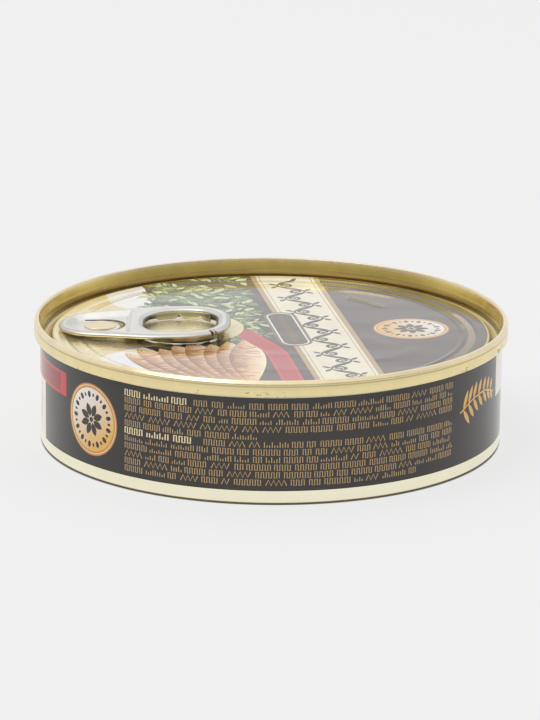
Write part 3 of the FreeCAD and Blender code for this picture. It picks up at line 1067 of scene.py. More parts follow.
def base_patch(sizes, top):
    """Turned base: a shallow bead in the recess, the ring it stands on and the round corner, up
    to the height where the printed wall begins."""
    ring = BODY_RADIUS - sizes.corner_round - sizes.stand_ring
    recess = sizes.base_recess
    edge = ring - 1.3
    bead_z = 0.55
    return turned(*rounded_line([
        (0, recess, 0), (edge - 10.4, recess, 0.4), (edge - 9.6, bead_z, 0.4),
        (edge - 8.8, bead_z, 0.4), (edge - 8.0, recess, 0.4), (edge, recess, 0.5), (ring, 0, 0.35),
        (BODY_RADIUS, 0, sizes.corner_round), (BODY_RADIUS, top, 0),
    ]))


def make_wall(lid, sizes, inks, metals):
    """Closed body: turned base and corner, the printed wall between two heights, and the cover
    under the lid."""
    low, high = 2.6, lid.seam_foot - 0.15
    cover = [(BODY_RADIUS, high, 0), (BODY_RADIUS, lid.seam_foot, 0)] + lid_underside(lid)[::-1]
    t = np.linspace(-math.pi, math.pi, SEGMENTS + 1) * BODY_RADIUS
    field = np.vstack([np.stack([t, 0 * t + low], 1), np.stack([t, 0 * t + high], 1)[::-1]])
    spots = staggered(np.arange(-155.5, 156, 1.05), np.arange(low + 1, high - 0.5, 1.9), 0.5)
    points, triangles, cover_inks = overlay(field, label_print(sizes, inks), spots, 0.6)
    bearing = points[:, 0] / BODY_RADIUS - math.pi / 2
    outward = heading(bearing)
    wall = Patch(np.column_stack([outward * BODY_RADIUS, points[:, 1]]), triangles,
                 np.column_stack([outward, 0 * bearing]), cover_inks)
    material = printed_tin("printed wall", metals.bare_tin, metals, stretch=(60, 60, 2600),
                           scuff_band=(22.4, 22.95), rough=0.2, varnish=0.22, mottle=0.97)
    return make_piece("tin_wall", [base_patch(sizes, low), wall, turned(*rounded_line(cover))],
                      material, "can_body")


# ------------------------------------------------------------------ lid

def lid_sizes(group):
    """The lid's sizes in millimetres, with the radii and heights that follow from them."""
    lid = in_millimetres(group)
    lid.chuck_top = SEAM_RADIUS - lid.rim_thickness
    lid.chuck_foot = lid.chuck_top - lid.chuck_taper
    lid.panel = lid.chuck_foot - lid.sink_width
    lid.step = lid.panel - lid.ring_width
    lid.flat_from = lid.panel - lid.edge_round - 0.02
    lid.seam_foot = RIM_Z - lid.seam_height
    lid.sink_z = RIM_Z - lid.sink_depth
    lid.ring_z = RIM_Z - lid.panel_depth
    lid.inner_z = lid.ring_z - lid.step_drop
    return lid


def lid_underside(lid):
    """(radius, height, rounding) corners under the lid's sheet, from the axis to the seam's foot."""
    ring_z = lid.ring_z - lid.sheet
    sink_z = lid.sink_z - lid.sheet
    return [
        (0, ring_z - lid.step_drop, 0), (lid.step - lid.step_run, ring_z - lid.step_drop, 0),
        (lid.step, ring_z, 0), (lid.panel - lid.sheet, ring_z, 0), (lid.panel - lid.sheet, sink_z, 0),
        (lid.chuck_foot + lid.sheet, sink_z, 0), (lid.chuck_foot + lid.sheet, lid.seam_foot, 0),
    ]


# soft ridges and creases pressed into the panel: (knots, height, half width)
PANEL_RELIEF = (
    (((-45.9, 2.3), (-44.8, -6.4), (-43.6, -14.2)), -0.04, 0.35),
    (((-39.3, -8.6), (-37.2, -13.4), (-35.4, -17.5)), 0.045, 0.8),
    (((-44.1, 12.3), (-43.8, 15.5), (-43.0, 18.6)), 0.045, 0.7),
    (((-39.6, 16.3), (-38.3, 19.3), (-36.5, 22.2)), 0.045, 0.8),
    (((13.1, 36.6), (18.7, 36.3), (26.5, 32.2), (36.3, 20.1)), 0.05, 0.8),
    (((17.5, 28.4), (20.4, 25.6), (24.0, 21.8)), 0.11, 0.9),
    (((21.1, -4.9), (24.2, -10.5), (23.4, -20.0)), 0.05, 2.2),
    (((23.0, -21.0), (27.4, -18.1), (30.1, -13.4)), 0.05, 2.0),
    (((-8, -18.2), (0.9, -17.8), (9, -17.4)), 0.035, 1.6),
    (((-8, -29.6), (0.9, -29.6), (9, -29.5)), 0.035, 1.8),
)
INNER_REACH = 39.4         # the panel's fine rings lie outside this radius, its grid inside


def panel_height(lid, points):
    """Height of the lid's panel: the outer ring, an eased step down, the round bead as a raised
    cosine, and the relief, each ridge height * exp(-(distance / half width)^2)."""
    bead = lid.step - lid.step_run - lid.bead_inset
    r = np.hypot(points[:, 0], points[:, 1])
    t = np.clip((lid.step - r) / (lid.step_run * 1.2), 0, 1)
    height = lid.ring_z - lid.step_drop * t * t * (3 - 2 * t)
    arch = np.clip(np.abs(r - bead) / (lid.bead_width * 0.7), 0, 1)
    height = height + lid.bead_height * (0.5 + 0.5 * np.cos(math.pi * arch))
    for knots, rise, wide in PANEL_RELIEF:
        path = smooth_path(knots, 40)
        away = np.min(np.hypot(points[:, None, 0] - path[:, 0], points[:, None, 1] - path[:, 1]), axis=1)
        height = height + rise * mound(away, wide)
    return height


def panel_spots(radius):
    """Loose points on the panel: fine rings near its edge, a staggered grid inside, and a finer
    one along the relief."""
    rings = np.arange(radius - 0.35, INNER_REACH + 0.2, -0.33)
    t = np.arange(400) * 2 * math.pi / 400
    turn = t + (np.arange(len(rings)) % 2)[:, None] * math.pi / 400
    ring_points = rings[:, None, None] * heading(turn)
    inner = staggered(np.arange(-INNER_REACH, INNER_REACH, 0.8),
                      np.arange(-INNER_REACH, INNER_REACH, 0.7), 0.4)
    fine = [inner[np.hypot(inner[:, 0], inner[:, 1]) < INNER_REACH - 0.1]]
    for knots, _, wide in PANEL_RELIEF:
        path = smooth_path(knots, 60)
        across = left_of(unit(np.gradient(path, axis=0)))
        fine += [path + across * offset * wide for offset in np.linspace(-1.6, 1.6, 9)]
    spots = np.concatenate([ring_points.reshape(-1, 2), *fine])
    return spots[np.hypot(spots[:, 0], spots[:, 1]) < radius - 0.2]


BAND_MIDDLE = np.array([10.1, 3.0])
BAND_WAY = unit(np.array([14.3, -84.0]))
BAND_ACROSS = left_of(BAND_WAY)
BAND_HALF_WIDTH = 7.5


def on_band(along, across):
    """Plane points from distances along the lid's band and across it."""
    return BAND_MIDDLE + np.outer(along, BAND_WAY) + np.outer(across, BAND_ACROSS)


def band_stripe(left, right):
    """Straight stripe of the band between two distances across it."""
    return on_band([-60, 60, 60, -60], [left, left, right, right])


def lid_greens(shapes, dice, inks):
    """Two white fields behind rows of sprigs that run to and fro."""
    for knots in (
            [(-40, 20), (-30, 14), (-26.5, 22), (-27.5, 31), (-31, 38), (-42, 34)],
            [(-38, -14), (-28, -13), (-22, -20), (-17, -30), (-14, -48), (-40, -40)]):
        shapes.add(smooth_path(knots, 30), inks.white)
    for row in range(13):
        low = -7.5 + 4.4 * row
        knots = [(-29 + 0.2 * row, low + 2), (-21, low + dice.uniform(-2, 3)),
                 (-11, low + dice.uniform(-2, 3)), (-1.5 - 0.12 * low, low + 1)]
        sprig(shapes, dice, knots if row % 2 else knots[::-1], inks, 3.3, 0.62)


def lid_fish(shapes, dice, inks):
    """Fan of fish whose tails stand round one point."""
    pivot = np.array([-3.0, -53.0])
    for fish, turn in enumerate(np.radians(np.arange(128, 92, -5))):
        tail = pivot + 8 * heading(turn)
        small_fish(shapes, dice, tail, turn, 37.5 + 1.6 * math.sin(fish * 2.1), inks)


def lid_band(shapes, inks):
    """Red ribbon, and the broad cream band with its striped edges and scroll."""
    knots = [(-6.5, 0.6), (-2, -9), (1, -16), (3.5, -30), (5, -39.8), (5.6, -47)]
    ribbon = smooth_path(knots, 48)
    shapes.add(strip(ribbon, 4.6), inks.red)
    shapes.add(strip(ribbon, 3.5), mixed(inks.red, inks.dark_red, 0.5))
    half = BAND_HALF_WIDTH
    shapes.add(band_stripe(-half, half), inks.tan)
    shapes.add(band_stripe(-half + 1.15, half - 1.15), inks.cream)
    for side in (-1, 1):
        shapes.add(band_stripe(side * (half - 1.75), side * (half - 1.95)), inks.tan)
    vine(shapes, on_band, (-42.0, 38.0), inks, 11.4, 2.6)


def lid_cartouche(shapes, inks):
    """Dark field with a white rim across the band, and a row of small marks in it."""
    middle = np.array([3.6, 2.7])
    lean = math.atan2(BAND_WAY[1], BAND_WAY[0])
    fields = (
        ((13.7, 3.6), 3.3, mixed(inks.black, inks.tan, 0.35)),
        ((13.0, 2.95), 2.7, inks.white),
        ((12.65, 2.6), 2.4, mixed(inks.black, inks.tan, 0.12)),
    )
    for half_sizes, rounding, ink in fields:
        shapes.add(rounded_box(middle, half_sizes, rounding, lean), ink)
    upright = math.atan2(BAND_ACROSS[1], BAND_ACROSS[0])
    for mark in range(13):
        root = middle + BAND_WAY * (mark - 6) * 1.6 - BAND_ACROSS * 1.0
        shapes.add(leaf(root, upright, 2.0, 0.6, 3), mixed(inks.black, inks.amber, 0.4))


def lid_bare_field(shapes, radius):
    """Field without print under the tab: round at the ring end, and wider towards the edge."""
    middle, reach = np.array([-18.1, 2.9]), 12.2
    ring_end = middle + reach * heading(np.linspace(-math.pi / 2, math.pi / 2, 30))
    upper = smooth_path([(-18.1, 15.1), (-26, 15.7), (-32.3, 18.7), (-35.4, 22.9), (-36.9, 29.8)], 24)
    rim = (radius + 0.05) * heading(np.radians(np.linspace(141.5, 218.5, 60)))
    lower = smooth_path(
        [(-36.9, -28.8), (-35.4, -20.9), (-32.3, -16.6), (-26.5, -12.9), (-18.1, -9.3)], 24)
    shapes.add(np.vstack([ring_end, upper[1:], rim, lower[:-1]]), FROSTED)


def lid_print(inks, radius):
    """Print of the lid's panel."""
    shapes = Print()
    dice = np.random.default_rng(7)
    warm_black = mixed(inks.black, inks.brown, 0.1)
    shapes.add(ellipse((0, 0), (radius, radius), count=SEGMENTS), warm_black)
    lid_greens(shapes, dice, inks)
    lid_fish(shapes, dice, inks)
    lid_band(shapes, inks)
    lid_cartouche(shapes, inks)
    roundel(shapes, inks, (30.4, 3.8), 8.25, -math.pi * 0.6)
    arc = 43.3 * heading(np.radians(np.linspace(22, -52, 40)))
    shapes.add(strip(arc, np.linspace(1.2, 1.9, 40)), fade(inks.tan, inks.black, (60, 24), (33, -33)))
    lid_bare_field(shapes, radius)
    shapes.keep_within(radius)
    return shapes


# lines up the foot of the recess's wall: (outwards from the wall's foot, height above the ring)
WALL_FOOT = ((0.17, 1.1), (0.15, 0.85), (0.12, -0.02), (0.11, -0.16), (0.08, -0.5))
# painted shade and highlights of the lacquer up the recess's wall: (height above the ring, tone)
WALL_PAINTED_SHADES = (
    (-1.5, 0.85), (-0.5, 0.3), (-0.16, 0.36), (-0.02, 1.0), (0.85, 1.0), (1.1, 0.84),
    (2.45, 1.04), (2.95, 0.72), (3.2, 0.85),
)


def lid_profile(lid):
    """Points and normals of the lid's turned part, from the axis under the sheet, up the seam's
    outside, over the rim, down the recess's wall and through the countersink to the panel."""
    outside = [
        (BODY_RADIUS - 0.05, lid.seam_foot, 0.02),
        (SEAM_RADIUS - 0.03, lid.seam_foot, 0.42),
        (SEAM_RADIUS, lid.seam_foot + 1.5, 3.0),
        (SEAM_RADIUS - lid.wall_dip * 0.7, RIM_Z - lid.crease_depth - 0.5, 0),
        (SEAM_RADIUS - lid.wall_dip, RIM_Z - lid.crease_depth - 0.25, 0.2),
        (SEAM_RADIUS - 0.01, RIM_Z - lid.crease_depth + 0.05, 0.08),
    ]
    rim = [
        (SEAM_RADIUS - 0.06, RIM_Z - lid.rim_slope_depth, 0.1),
        (SEAM_RADIUS - lid.rim_slope, RIM_Z - 0.08, 0.2),
        (lid.chuck_top + 0.1, RIM_Z - 0.13, 0.15),
        (lid.chuck_top - 0.06, RIM_Z - 0.5, 0.1),
        (lid.chuck_top - 0.2, RIM_Z - 1.0, 0),
    ]
    recess = [
        (lid.chuck_top - lid.chuck_break_taper, RIM_Z - lid.chuck_break_depth, 0.6),
        *((lid.chuck_foot + out, lid.ring_z + height, 0) for out, height in WALL_FOOT),
        (lid.chuck_foot, lid.sink_z, 0.8),
        (lid.panel, lid.sink_z, 0.8),
        (lid.panel, lid.ring_z, lid.edge_round),
        (lid.flat_from, lid.ring_z, 0),
    ]
    return rounded_line(lid_underside(lid) + outside + rim + recess)


def lid_painted_tones(lid, profile, metals):
    """Ink of each profile point, with painted light: the lacquer's tints on the seam and the recess's wall,
    painted shade and highlights up the recess's wall, painted shade in the crease and on the panel's lip, and
    as fourth number a painted cream highlight on the rim and a pale lacquer cover that lightens the wall's
    foot."""
    radius, height = profile.T
    above_ring = height - lid.ring_z
    inside = (radius < lid.chuck_top + 0.06) & (height > lid.sink_z - 0.1)
    # painted shade and highlights up the recess's wall, by height above the ring
    shade = np.interp(above_ring, *zip(*WALL_PAINTED_SHADES))
    # painted shade on the panel's lip
    shade = np.where(inside & (radius < lid.panel + 0.1), 0.4, shade)
    low = np.clip(1 - (above_ring - 0.85) / 0.25, 0, 1)
    # tints of the one lacquer by place, painted light for how it shows on the wall, its foot and the seam
    recess = blend(metals.deep_lacquer[:], metals.low_lacquer[:], low)
    tones = np.where(inside[:, None], shade[:, None] * recess, np.array(metals.seam_lacquer[:]))
    # painted shade in the crease under the rim's round
    crease = ~inside & (np.abs(height - RIM_Z + lid.crease_depth + 0.22) < 0.17)
    tones = tones * np.where(crease, 0.55, 1.0)[:, None]
    # painted highlight: a pale cream cover on the rim's top
    rim = (height > RIM_Z - 0.75) & (radius > lid.chuck_top - 0.1)
    cover = np.where(rim, 0.35, 0.45 * low * inside * (above_ring > -0.1))
    tones = np.where(rim[:, None], metals.rim_highlight_cream[:], tones)
    # painted light: the pale cover that lightens the wall's foot
    tones = np.where((cover > 0)[:, None] & ~rim[:, None], metals.foot_painted_gold[:], tones)
    return np.column_stack([tones, cover])


def panel_patch(lid, inks):
    """Printed panel.  Its normals come from the height's slope over a short way to each side."""
    t = np.arange(SEGMENTS) * 2 * math.pi / SEGMENTS
    field = lid.flat_from * heading(t)
    printed = lid_print(inks, lid.panel - lid.print_margin)
    points, triangles, panel_inks = overlay(field, printed, panel_spots(lid.flat_from), 0.7)
    way = 0.02
    slope = [(panel_height(lid, points + move) - panel_height(lid, points - move)) / (2 * way)
             for move in (np.array([way, 0]), np.array([0, way]))]
    upward = unit(np.stack([-slope[0], -slope[1], np.ones(len(points))], 1))
    return Patch(np.column_stack([points, panel_height(lid, points)]), triangles, upward, panel_inks)


def make_lid(lid, inks, metals):
    """Closed lid: turned seam, chuck wall and countersink, then the printed panel."""
    profile, normals = lid_profile(lid)
    turned_part = turned(profile, normals, lid_painted_tones(lid, profile, metals))
    material = printed_tin("printed lid", metals.lacquer, metals, stretch=(120, 2600, 2600),
                           scuff_band=(lid.seam_foot - 0.1, lid.seam_foot + 1.2),
                           rough=0.33, varnish=0.85, mottle=0.91)
    return make_piece("lid_shell", [turned_part, panel_patch(lid, inks)], material,
                      "lid")


def rivet_place(lid, tab):
    """Where the rivet stands, from the tin's axis."""
    return np.array([-(lid.panel - tab.rivet_inset), 0, 0])


def make_rivet(lid, tab, metals):
    """Closed rivet: boss, stem and crowned head, turned about the rivet's own axis."""
    sunk_z = lid.inner_z - 0.1
    boss_z = lid.inner_z + tab.boss_height
    boss_foot = tab.boss_radius + tab.boss_flare
    head_z = boss_z + tab.tongue_sheet
    head_top = head_z + tab.head_height
    crown_top = head_top + tab.head_crown
    patch = turned(*rounded_line([
        (0, sunk_z, 0), (boss_foot, sunk_z, 0.04), (boss_foot, lid.inner_z + 0.03, 0.05),
        (tab.boss_radius, boss_z, 0.25), (tab.stem_radius, boss_z, 0.05),
        (tab.stem_radius, head_z, 0.05), (tab.head_radius, head_z, 0.05),
        (tab.head_radius, head_top - 0.04, tab.head_round), (tab.head_radius * 0.72, head_top, 1.2),
        (tab.head_radius * 0.6, head_top - 0.02, 1.0), (0.3, crown_top, 1.0), (0, crown_top, 0),
    ]))
    patch.points = patch.points + rivet_place(lid, tab)
    material = printed_tin("rivet lacquer", metals.lacquer, metals, stretch=(120, 2600, 2600),
                           scuff_band=(0, 0.1), rough=0.28, varnish=0.6, mottle=0.95)
    return make_piece("rivet_head", [patch], material, "lid")


# ------------------------------------------------------------------ pull tab

NICKS = ((24.6, 0.2, 1.0), (25.3, 0.14, 0.6))    # (place, half width, share of the nick's depth)
WEB_CORNERS = ((-6.1, 0.0), (-6.1, 4.2), (-4.0, 7.2), (6.6, 9.2), (6.6, 0.0))    # its +Y half
WEB_RUNS = (1.5, 1.3, 1.9, 0.9)                  # run of the slope inside each of its sides
HEM_LOBES = (14.2, 19.4, 23.9)                   # middles of the hem's lobes, from the rivet
LOBE_HALF_WIDTH = 2.45


def mirrored(half):
    """Closed counter-clockwise outline from the corners of its -Y half, given from -X to +X."""
    return half + [(x, -y, radius) for x, y, radius in reversed(half)]


def tab_outline(tab):
    """Tab seen from above: its side lines run from the shoulders and touch the nose circle."""
    shoulder = math.hypot(tab.shoulder_reach, tab.half_width)
    touch = math.atan2(tab.half_width, tab.shoulder_reach) + math.acos(tab.nose_radius / shoulder)
    nose_corner = tab.nose_radius * math.tan((math.pi - touch) / 2)
    return rounded_line(mirrored([
        (-tab.nose_radius, -nose_corner, tab.nose_radius),
        (tab.shoulder_reach, -tab.half_width, tab.shoulder_round),
        (tab.ring_reach, -tab.half_width, tab.corner_radius),
    ]), True)


def hole_outline(tab):
    """Finger hole seen from above."""
    far = tab.ring_reach - tab.ring_edge
    half = tab.half_width - tab.side_edge
    return rounded_line(mirrored([
        (far - tab.hole_length, -half, tab.hole_corner), (far, -half, tab.hole_corner),
    ]), True)


def round_ended(radius, centre, root, corner=0.25):
    """D-shaped outline: straight at the root, round towards the ring."""
    return rounded_line(mirrored([(-root, -radius, corner), (centre + radius, -radius, radius - 0.01)]), True)


def web_depth(points):
    """How far the sunk web has reached its full depth at a point, from 0 to 1.

    The web is six-sided; each side's share is the distance in from it over the run of its slope,
    the smallest share counts, and it is eased at both ends.
    """
    x, y = points[:, 0], np.abs(points[:, 1])
    corners = np.array(WEB_CORNERS)
    shares = []
    for start, end, run in zip(corners[:-1], corners[1:], WEB_RUNS):
        way = unit(end - start)
        shares.append(((x - start[0]) * way[1] - (y - start[1]) * way[0]) / run)
    share = np.clip(np.min(shares, axis=0), 0, 1)
    return share * share * (3 - 2 * share) * 0.35 + share * 0.65


def tab_top(tab, points, z):
    """Height of the tab's upper side, lowered by the web, the nose dish and the fold."""
    x, y = points[:, 0], points[:, 1]
    dish = np.exp(-(((x + 6.1) / 2.3) ** 2 + (y / 4.6) ** 2) ** 1.4)
    fold = mound(x - 7.7, 0.35) * (np.abs(y) < 8)
    web = (tab.thickness + tab.foot_lift - tab.sheet) * web_depth(points)
    return z - (np.maximum(web, 0.34 * dish) + 0.06 * fold)


def tab_inks(gilt, tone, faces):
    """Inks of the tab: a grey tone, which paints shade where it is below 1, and as fourth number how much
    gold lacquer shows.  Both are given for every point or as one number."""
    grey, gold = (value[faces] if np.ndim(value) else np.full(faces.shape, value, float)
                  for value in (tone, gilt))
    return np.stack([grey, grey, grey, gold], -1)


def rolled_edge(tab, outline, inner, outside, middle_z, edge_painted_shade, painted_shade=1.0):
    """Rolled edge between an outline and the line where its round ends.

    Across it runs half a superellipse: the share of the way inwards is 1 - cos(a)^p and the
    height is half the thickness * sin(a)^p, from the underside (a = -90 degrees) to the top,
    with p below 1 for full shoulders.
    """
    a = np.radians(np.linspace(-90, 90, 19))
    power = 0.95
    reach = 1 - np.cos(a) ** power
    reach[0] = reach[-1] = 1
    rise = tab.thickness / 2 * np.sign(np.sin(a)) * np.abs(np.sin(a)) ** power
    flat = outline + reach[:, None, None] * (inner - outline)
    z = np.broadcast_to((middle_z + rise)[:, None], flat.shape[:2])
    points = np.dstack([flat, z]).reshape(-1, 3)
    upper = points[:, 2] > middle_z
    points[upper, 2] = tab_top(tab, points[upper], points[upper, 2])
    faces = grid_faces(len(a), len(outline))
    if not outside:
        faces = faces[:, ::-1]
    gilt = np.repeat(np.clip(1.6 - rise / 0.14, 0, 1), len(outline))
    # painted shade: the steel top of the round is darkened to dull its highlight
    steel_edge = np.where((reach < 0.8) & (rise > 0.15), edge_painted_shade, 1.0)
    # further painted shade along the outline, as in the front nicks
    tone = steel_edge[:, None] * np.broadcast_to(painted_shade, len(outline))
    return Patch(points, faces, inks=tab_inks(gilt, tone.reshape(-1), faces))


def plate_patches(tab, foot_z):
    """Ring and web before they are tilted: the rolled edges, the faces between them, the slot."""
    top_z = foot_z + tab.thickness
    middle_z = (foot_z + top_z) / 2
    outer, outer_normals = evenly(*tab_outline(tab), 0.14)
    hole, hole_normals = evenly(*hole_outline(tab), 0.2)
    slot, _ = evenly(*round_ended(tab.slot_radius, tab.slot_shift, tab.tongue_root), 0.2)
    outer_line = outer - outer_normals * tab.roll_width
    hole_line = hole + hole_normals * tab.roll_width
    front = outer[:, 1] < 0
    nick = sum(share * mound(outer[:, 0] - place, half) for place, half, share in NICKS)
    nicked = outer - outer_normals * (tab.nick_depth * nick * front)[:, None]
    # painted shade: the steel is darkened in and round the front nicks
    painted_shade = 1 - 0.85 * np.clip(nick * 1.3, 0, 1) * front

    openings = Print()
    for opening in (hole_line, slot):
        openings.add(opening, OPENING)
    spots = staggered(np.arange(-8, 27.5, 0.36), np.arange(-11.4, 11.5, 0.33), 0.18)
    flat, triangles, marks = overlay(outer_line, openings, spots, 1.0)
    triangles = triangles[marks[:, 0, 3] < 0.5]
    # painted shade: the nose dish is darker on the plate's top
    nose = np.exp(-(((flat[:, 0] + 6.6) / 1.7) ** 2 + ((flat[:, 1] - 1.5) / 4.2) ** 2) ** 1.5)
    plate_top = np.column_stack([flat, tab_top(tab, flat, top_z)])
    plate_low = np.column_stack([flat, np.full(len(flat), foot_z)])
    slot_wall = np.column_stack([np.concatenate([slot, slot]), np.concatenate(
        [tab_top(tab, slot, top_z), np.full(len(slot), foot_z)])])
    slot_faces = grid_faces(2, len(slot))
    return [
        rolled_edge(tab, nicked, outer_line, True, middle_z, 0.72, painted_shade),
        rolled_edge(tab, hole, hole_line, False, middle_z, 0.8),
        Patch(plate_top, triangles, inks=tab_inks(0, 1 - 0.22 * nose, triangles)),
        Patch(plate_low, triangles[:, ::-1], inks=tab_inks(1, 1, triangles)),
        # painted shade: the slot's walls are darker
        Patch(slot_wall, slot_faces, inks=tab_inks(0, 0.6, slot_faces)),
    ]


def oval_tube(path, normals, half_width, top, bottom, gilt, tone):
    """Closed tube of oval section along a closed path."""
    a = np.linspace(0, 2 * math.pi, 14, endpoint=False)
    flat = path + half_width * np.cos(a)[:, None, None] * normals
    z = (top + bottom) / 2 + (top - bottom) / 2 * np.sin(a)[:, None]
    rows = np.dstack([flat, z])
    points = np.concatenate([rows, rows[:1]]).reshape(-1, 3)
    faces = grid_faces(len(a) + 1, len(path))
    gilts, tones = (np.broadcast_to(value, (len(a) + 1, len(path))).reshape(-1) for value in (gilt, tone))
    return Patch(points, faces, inks=tab_inks(gilts, tones, faces))


def hem_patches(tab, foot_z, floor_z):
    """Hem of the finger hole: its folded lip, whose underside hangs in lobes along both long
    sides, and the curl behind it that closes the ring's underside."""
    path, normals = evenly(*hole_outline(tab), 0.3)
    side = np.clip((8.0 - np.abs(path[:, 1])) / 2.5, 0, 1)
    middle = path + normals * (0.45 - 0.5 * side)[:, None]
    away = np.abs(middle[:, 1])
    front = middle[:, 1] < -6.2
    sunk = floor_z + tab.hem_gap - (middle[:, 0] + tab.tongue_root) * math.tan(tab.tilt)
    lobes = np.max([np.clip(1 - ((middle[:, 0] - centre) / LOBE_HALF_WIDTH) ** 4, 0, 1) ** 0.5
                    for centre in HEM_LOBES], axis=0) * (away > 7)
    foot = foot_z - 0.15
    # painted shade: the lip is dark at the hole's ends and darker along the front
    lip_painted_shade = np.interp(away, [6.2, 8.6], [0.14, 1.0]) * np.where(front, 0.62, 0.85)
    lip = oval_tube(middle, normals, 0.38, foot_z + 0.7, foot + (sunk - foot) * lobes,
                    np.where(front, 1.0, 0.7), lip_painted_shade)
    # painted shade: the curl is darker, most of all behind the hole
    curl = oval_tube(path + normals * 1.1, normals, 0.3, foot_z + 0.6,
                     sunk + np.where(front, 0.04, 0.3), 1.0, np.where(front, 0.75, 0.25))
    return [lip, curl]


def tongue_patch(tab, boss_z):
    """Coined tongue: its outline carried down a small rounded edge, closed above and below."""
    outline, normals = evenly(*round_ended(tab.tongue_radius, 0, tab.tongue_root + 0.9), 0.3)
    edge = 0.1
    half = tab.tongue_sheet / 2
    a = np.radians(np.linspace(-90, 90, 7))
    middle = np.broadcast_to(outline.mean(0), outline.shape)
    rows = [middle, *(outline - normals * (edge * (1 - math.cos(angle))) for angle in a), middle]
    heights = boss_z + half + (half - edge) * np.sign(np.sin(a)) + edge * np.sin(a)
    heights = np.repeat([heights[0], *heights, heights[-1]], len(outline))
    faces = grid_faces(len(rows), len(outline))
    return Patch(np.column_stack([np.concatenate(rows), heights]), faces, inks=tab_inks(0, 1, faces))


def make_tab(lid, tab, metals):
    """Pull tab: rolled ring with a finger hole and its hem, sunk web, slot and tongue."""
    place = rivet_place(lid, tab)
    boss_z = lid.inner_z + tab.boss_height
    web_foot = boss_z - (tab.sheet - tab.tongue_sheet) / 2
    foot_z = web_foot + tab.foot_lift
    root = np.array([-tab.tongue_root, 0, web_foot])
    cos, sin = math.cos(tab.tilt), math.sin(tab.tilt)

    def tilted(points):
        """Turned about the line through the tongue's root, ring end up, then moved to the rivet."""
        x, y, z = (points - root).T
        return np.stack([x * cos - z * sin, y, x * sin + z * cos], 1) + root + place

    plate = plate_patches(tab, foot_z)
    hem = hem_patches(tab, foot_z, lid.inner_z)
    for patch in plate + hem:
        patch.points = tilted(patch.points)
    tongue = tongue_patch(tab, boss_z)
    tongue.points = tongue.points + place
    for together in (plate[:4], plate[4:], hem[:1], hem[1:], [tongue]):
        smooth_together(together)
    return make_piece("pull_tab_shell", [*plate, *hem, tongue], pressed_steel(metals),
                      "pull_tab")


# ------------------------------------------------------------------ stage

def make_floor(studio):
    """Wide pale floor.  Its own light makes up most of its shade and the light it bounces only a share, so
    that the tin casts a faint shadow.  Under the tin and just beyond its edge, its own light falls to a dim
    glow: a painted shadow."""
    corners = rectangle(-FLOOR_REACH, -FLOOR_REACH, FLOOR_REACH, FLOOR_REACH)
    mesh = bpy.data.meshes.new("floor")
    mesh.from_pydata([(x, y, 0) for x, y in corners], [], [(0, 1, 2, 3)])
    material, nodes, shader = new_material("pale floor")
    shader["Base Color"].default_value = (*[studio.floor_bounce] * 3, 1)
    shader["Roughness"].default_value = 1.0
    shader["Specular IOR Level"].default_value = 0.0
    place = nodes.add("ShaderNodeTexCoord").outputs["Object"]
    away = nodes.add("ShaderNodeVectorMath", {0: place}, operation="LENGTH").outputs["Value"]
    # painted shadow: the floor's own light falls to a dim glow under the tin
    tone = nodes.between(away, studio.shade_radius, studio.shade_radius + studio.shade_fade)
    glow = [value - studio.floor_bounce * 1.1 for value in studio.floor]
    nodes.plug(shader["Emission Color"], nodes.mix(tone, (*PAINTED_SHADOW_GLOW, 1), (*glow, 1)))
    shader["Emission Strength"].default_value = 1.0
    mesh.materials.append(material)
    floor = bpy.data.objects.new("floor", mesh)
    bpy.context.scene.collection.objects.link(floor)


def make_light(studio):
    """Soft light from all round and one large soft lamp.  The light rises from the backdrop's to
    the sky's with height, and low down behind the camera, where the room lies, it is dim."""
    world = bpy.data.worlds.new("studio")
    bpy.context.scene.world = world
    world.use_nodes = True
    world.node_tree.nodes.clear()
    nodes = Nodes(world.node_tree)
    way = nodes.add("ShaderNodeSeparateXYZ", {
        "Vector": nodes.add("ShaderNodeTexCoord").outputs["Generated"]}).outputs
    forward = nodes.between(way["Y"], 0.25, -0.25)
    low = nodes.maths("MULTIPLY", nodes.between(way["Z"], 0.0, 0.06), nodes.between(way["Z"], 0.78, 0.55))
    room = nodes.maths("MULTIPLY", forward, low)
    rise = nodes.between(way["Z"], 0.25, 0.85)
    backdrop, sky, dim = ((value, value, value, 1) for value in (studio.backdrop, studio.sky, studio.dim))
    colour = nodes.mix(room, nodes.mix(rise, backdrop, sky), dim)
    background = nodes.add("ShaderNodeBackground", {"Color": colour, "Strength": 1.0})
    output = nodes.add("ShaderNodeOutputWorld")
    nodes.plug(output.inputs["Surface"], background.outputs["Background"])

    lamp = bpy.data.lights.new("soft lamp", "AREA")
    lamp.shape = "RECTANGLE"
    lamp.size = studio.key_width
    lamp.size_y = studio.key_depth
    lamp.energy = studio.key_power
    key = bpy.data.objects.new("soft lamp", lamp)
    key.location = studio.key_place
    key.rotation_euler = (-key.location).to_track_quat("-Z", "Y").to_euler()
    bpy.context.scene.collection.objects.link(key)


def make_camera(studio):
    """Camera in front of the tin, looking down and a little rolled."""
    data = bpy.data.cameras.new("camera")
    data.lens = studio.camera_lens
    data.sensor_width = 36
    data.clip_end = 20
    camera = bpy.data.objects.new("camera", data)
    turn = (Matrix.Rotation(studio.camera_turn, 4, "Z")
            @ Matrix.Rotation(math.pi / 2 - studio.camera_pitch, 4, "X")
            @ Matrix.Rotation(studio.camera_roll, 4, "Z"))
    camera.matrix_world = Matrix.Translation(studio.camera_place) @ turn
    bpy.context.scene.collection.objects.link(camera)
    bpy.context.scene.camera = camera
    bpy.context.scene.view_settings.view_transform = "Standard"


# ------------------------------------------------------------------ operators and panel

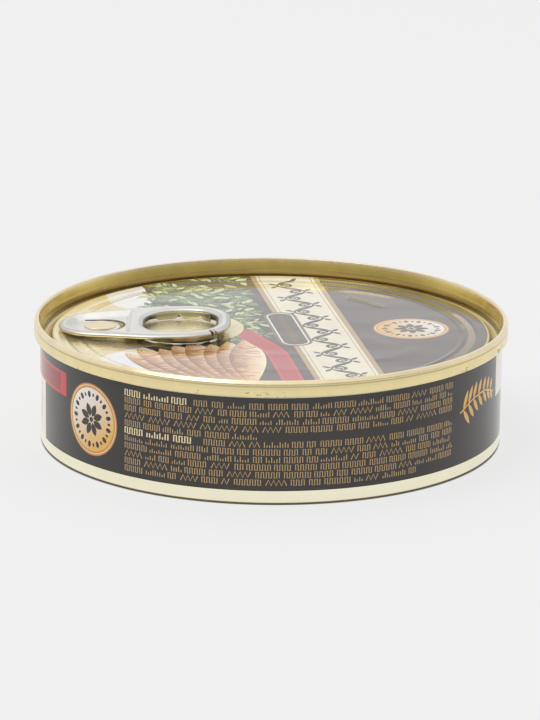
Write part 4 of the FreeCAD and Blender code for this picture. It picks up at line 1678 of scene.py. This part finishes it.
class TIN_OT_stage(bpy.types.Operator):
    """Add the floor, the light and the camera"""
    bl_idname = "tin.stage"
    bl_label = "Stage"

    def execute(self, context):
        studio = context.scene.tin_studio
        make_floor(studio)
        make_light(studio)
        make_camera(studio)
        return {"FINISHED"}


class TIN_OT_wall(bpy.types.Operator):
    """Build the body wall with its printed label"""
    bl_idname = "tin.wall"
    bl_label = "Body wall"

    def execute(self, context):
        scene = context.scene
        make_wall(lid_sizes(scene.tin_lid), in_millimetres(scene.tin_label),
                  ink_set(scene.tin_inks), scene.tin_metals)
        return {"FINISHED"}


class TIN_OT_lid(bpy.types.Operator):
    """Build the lid with its seam and printed panel, and the rivet"""
    bl_idname = "tin.lid"
    bl_label = "Lid and rivet"

    def execute(self, context):
        scene = context.scene
        lid = lid_sizes(scene.tin_lid)
        make_lid(lid, ink_set(scene.tin_inks), scene.tin_metals)
        make_rivet(lid, in_millimetres(scene.tin_tab), scene.tin_metals)
        return {"FINISHED"}


class TIN_OT_tab(bpy.types.Operator):
    """Build the ring-pull tab"""
    bl_idname = "tin.tab"
    bl_label = "Pull tab"

    def execute(self, context):
        scene = context.scene
        make_tab(lid_sizes(scene.tin_lid), in_millimetres(scene.tin_tab), scene.tin_metals)
        return {"FINISHED"}


OPERATORS = (TIN_OT_stage, TIN_OT_wall, TIN_OT_lid, TIN_OT_tab)


class TIN_PT_pieces(bpy.types.Panel):
    """Sizes, colours and pieces of the tin"""
    bl_idname = "TIN_PT_pieces"
    bl_label = "Sprat tin"
    bl_space_type = "VIEW_3D"
    bl_region_type = "UI"
    bl_category = "Sprat tin"

    def draw(self, context):
        for operator in OPERATORS:
            self.layout.operator(operator.bl_idname)
        for name, group in GROUPS.items():
            box = self.layout.box()
            box.label(text=name)
            for key in group.__annotations__:
                box.prop(getattr(context.scene, name), key)


def register():
    """Adds the property groups, the operators and the panel."""
    for group in GROUPS.values():
        bpy.utils.register_class(group)
    for name, group in GROUPS.items():
        setattr(bpy.types.Scene, name, bpy.props.PointerProperty(type=group))
    for kind in (*OPERATORS, TIN_PT_pieces):
        bpy.utils.register_class(kind)


def unregister():
    """Takes them away again."""
    for kind in reversed((*OPERATORS, TIN_PT_pieces)):
        bpy.utils.unregister_class(kind)
    for name, group in GROUPS.items():
        delattr(bpy.types.Scene, name)
        bpy.utils.unregister_class(group)


def main():
    """Builds the stage and every piece."""
    register()
    bpy.ops.tin.stage()
    bpy.ops.tin.wall()
    bpy.ops.tin.lid()
    bpy.ops.tin.tab()


if __name__ == "__main__":
    main()
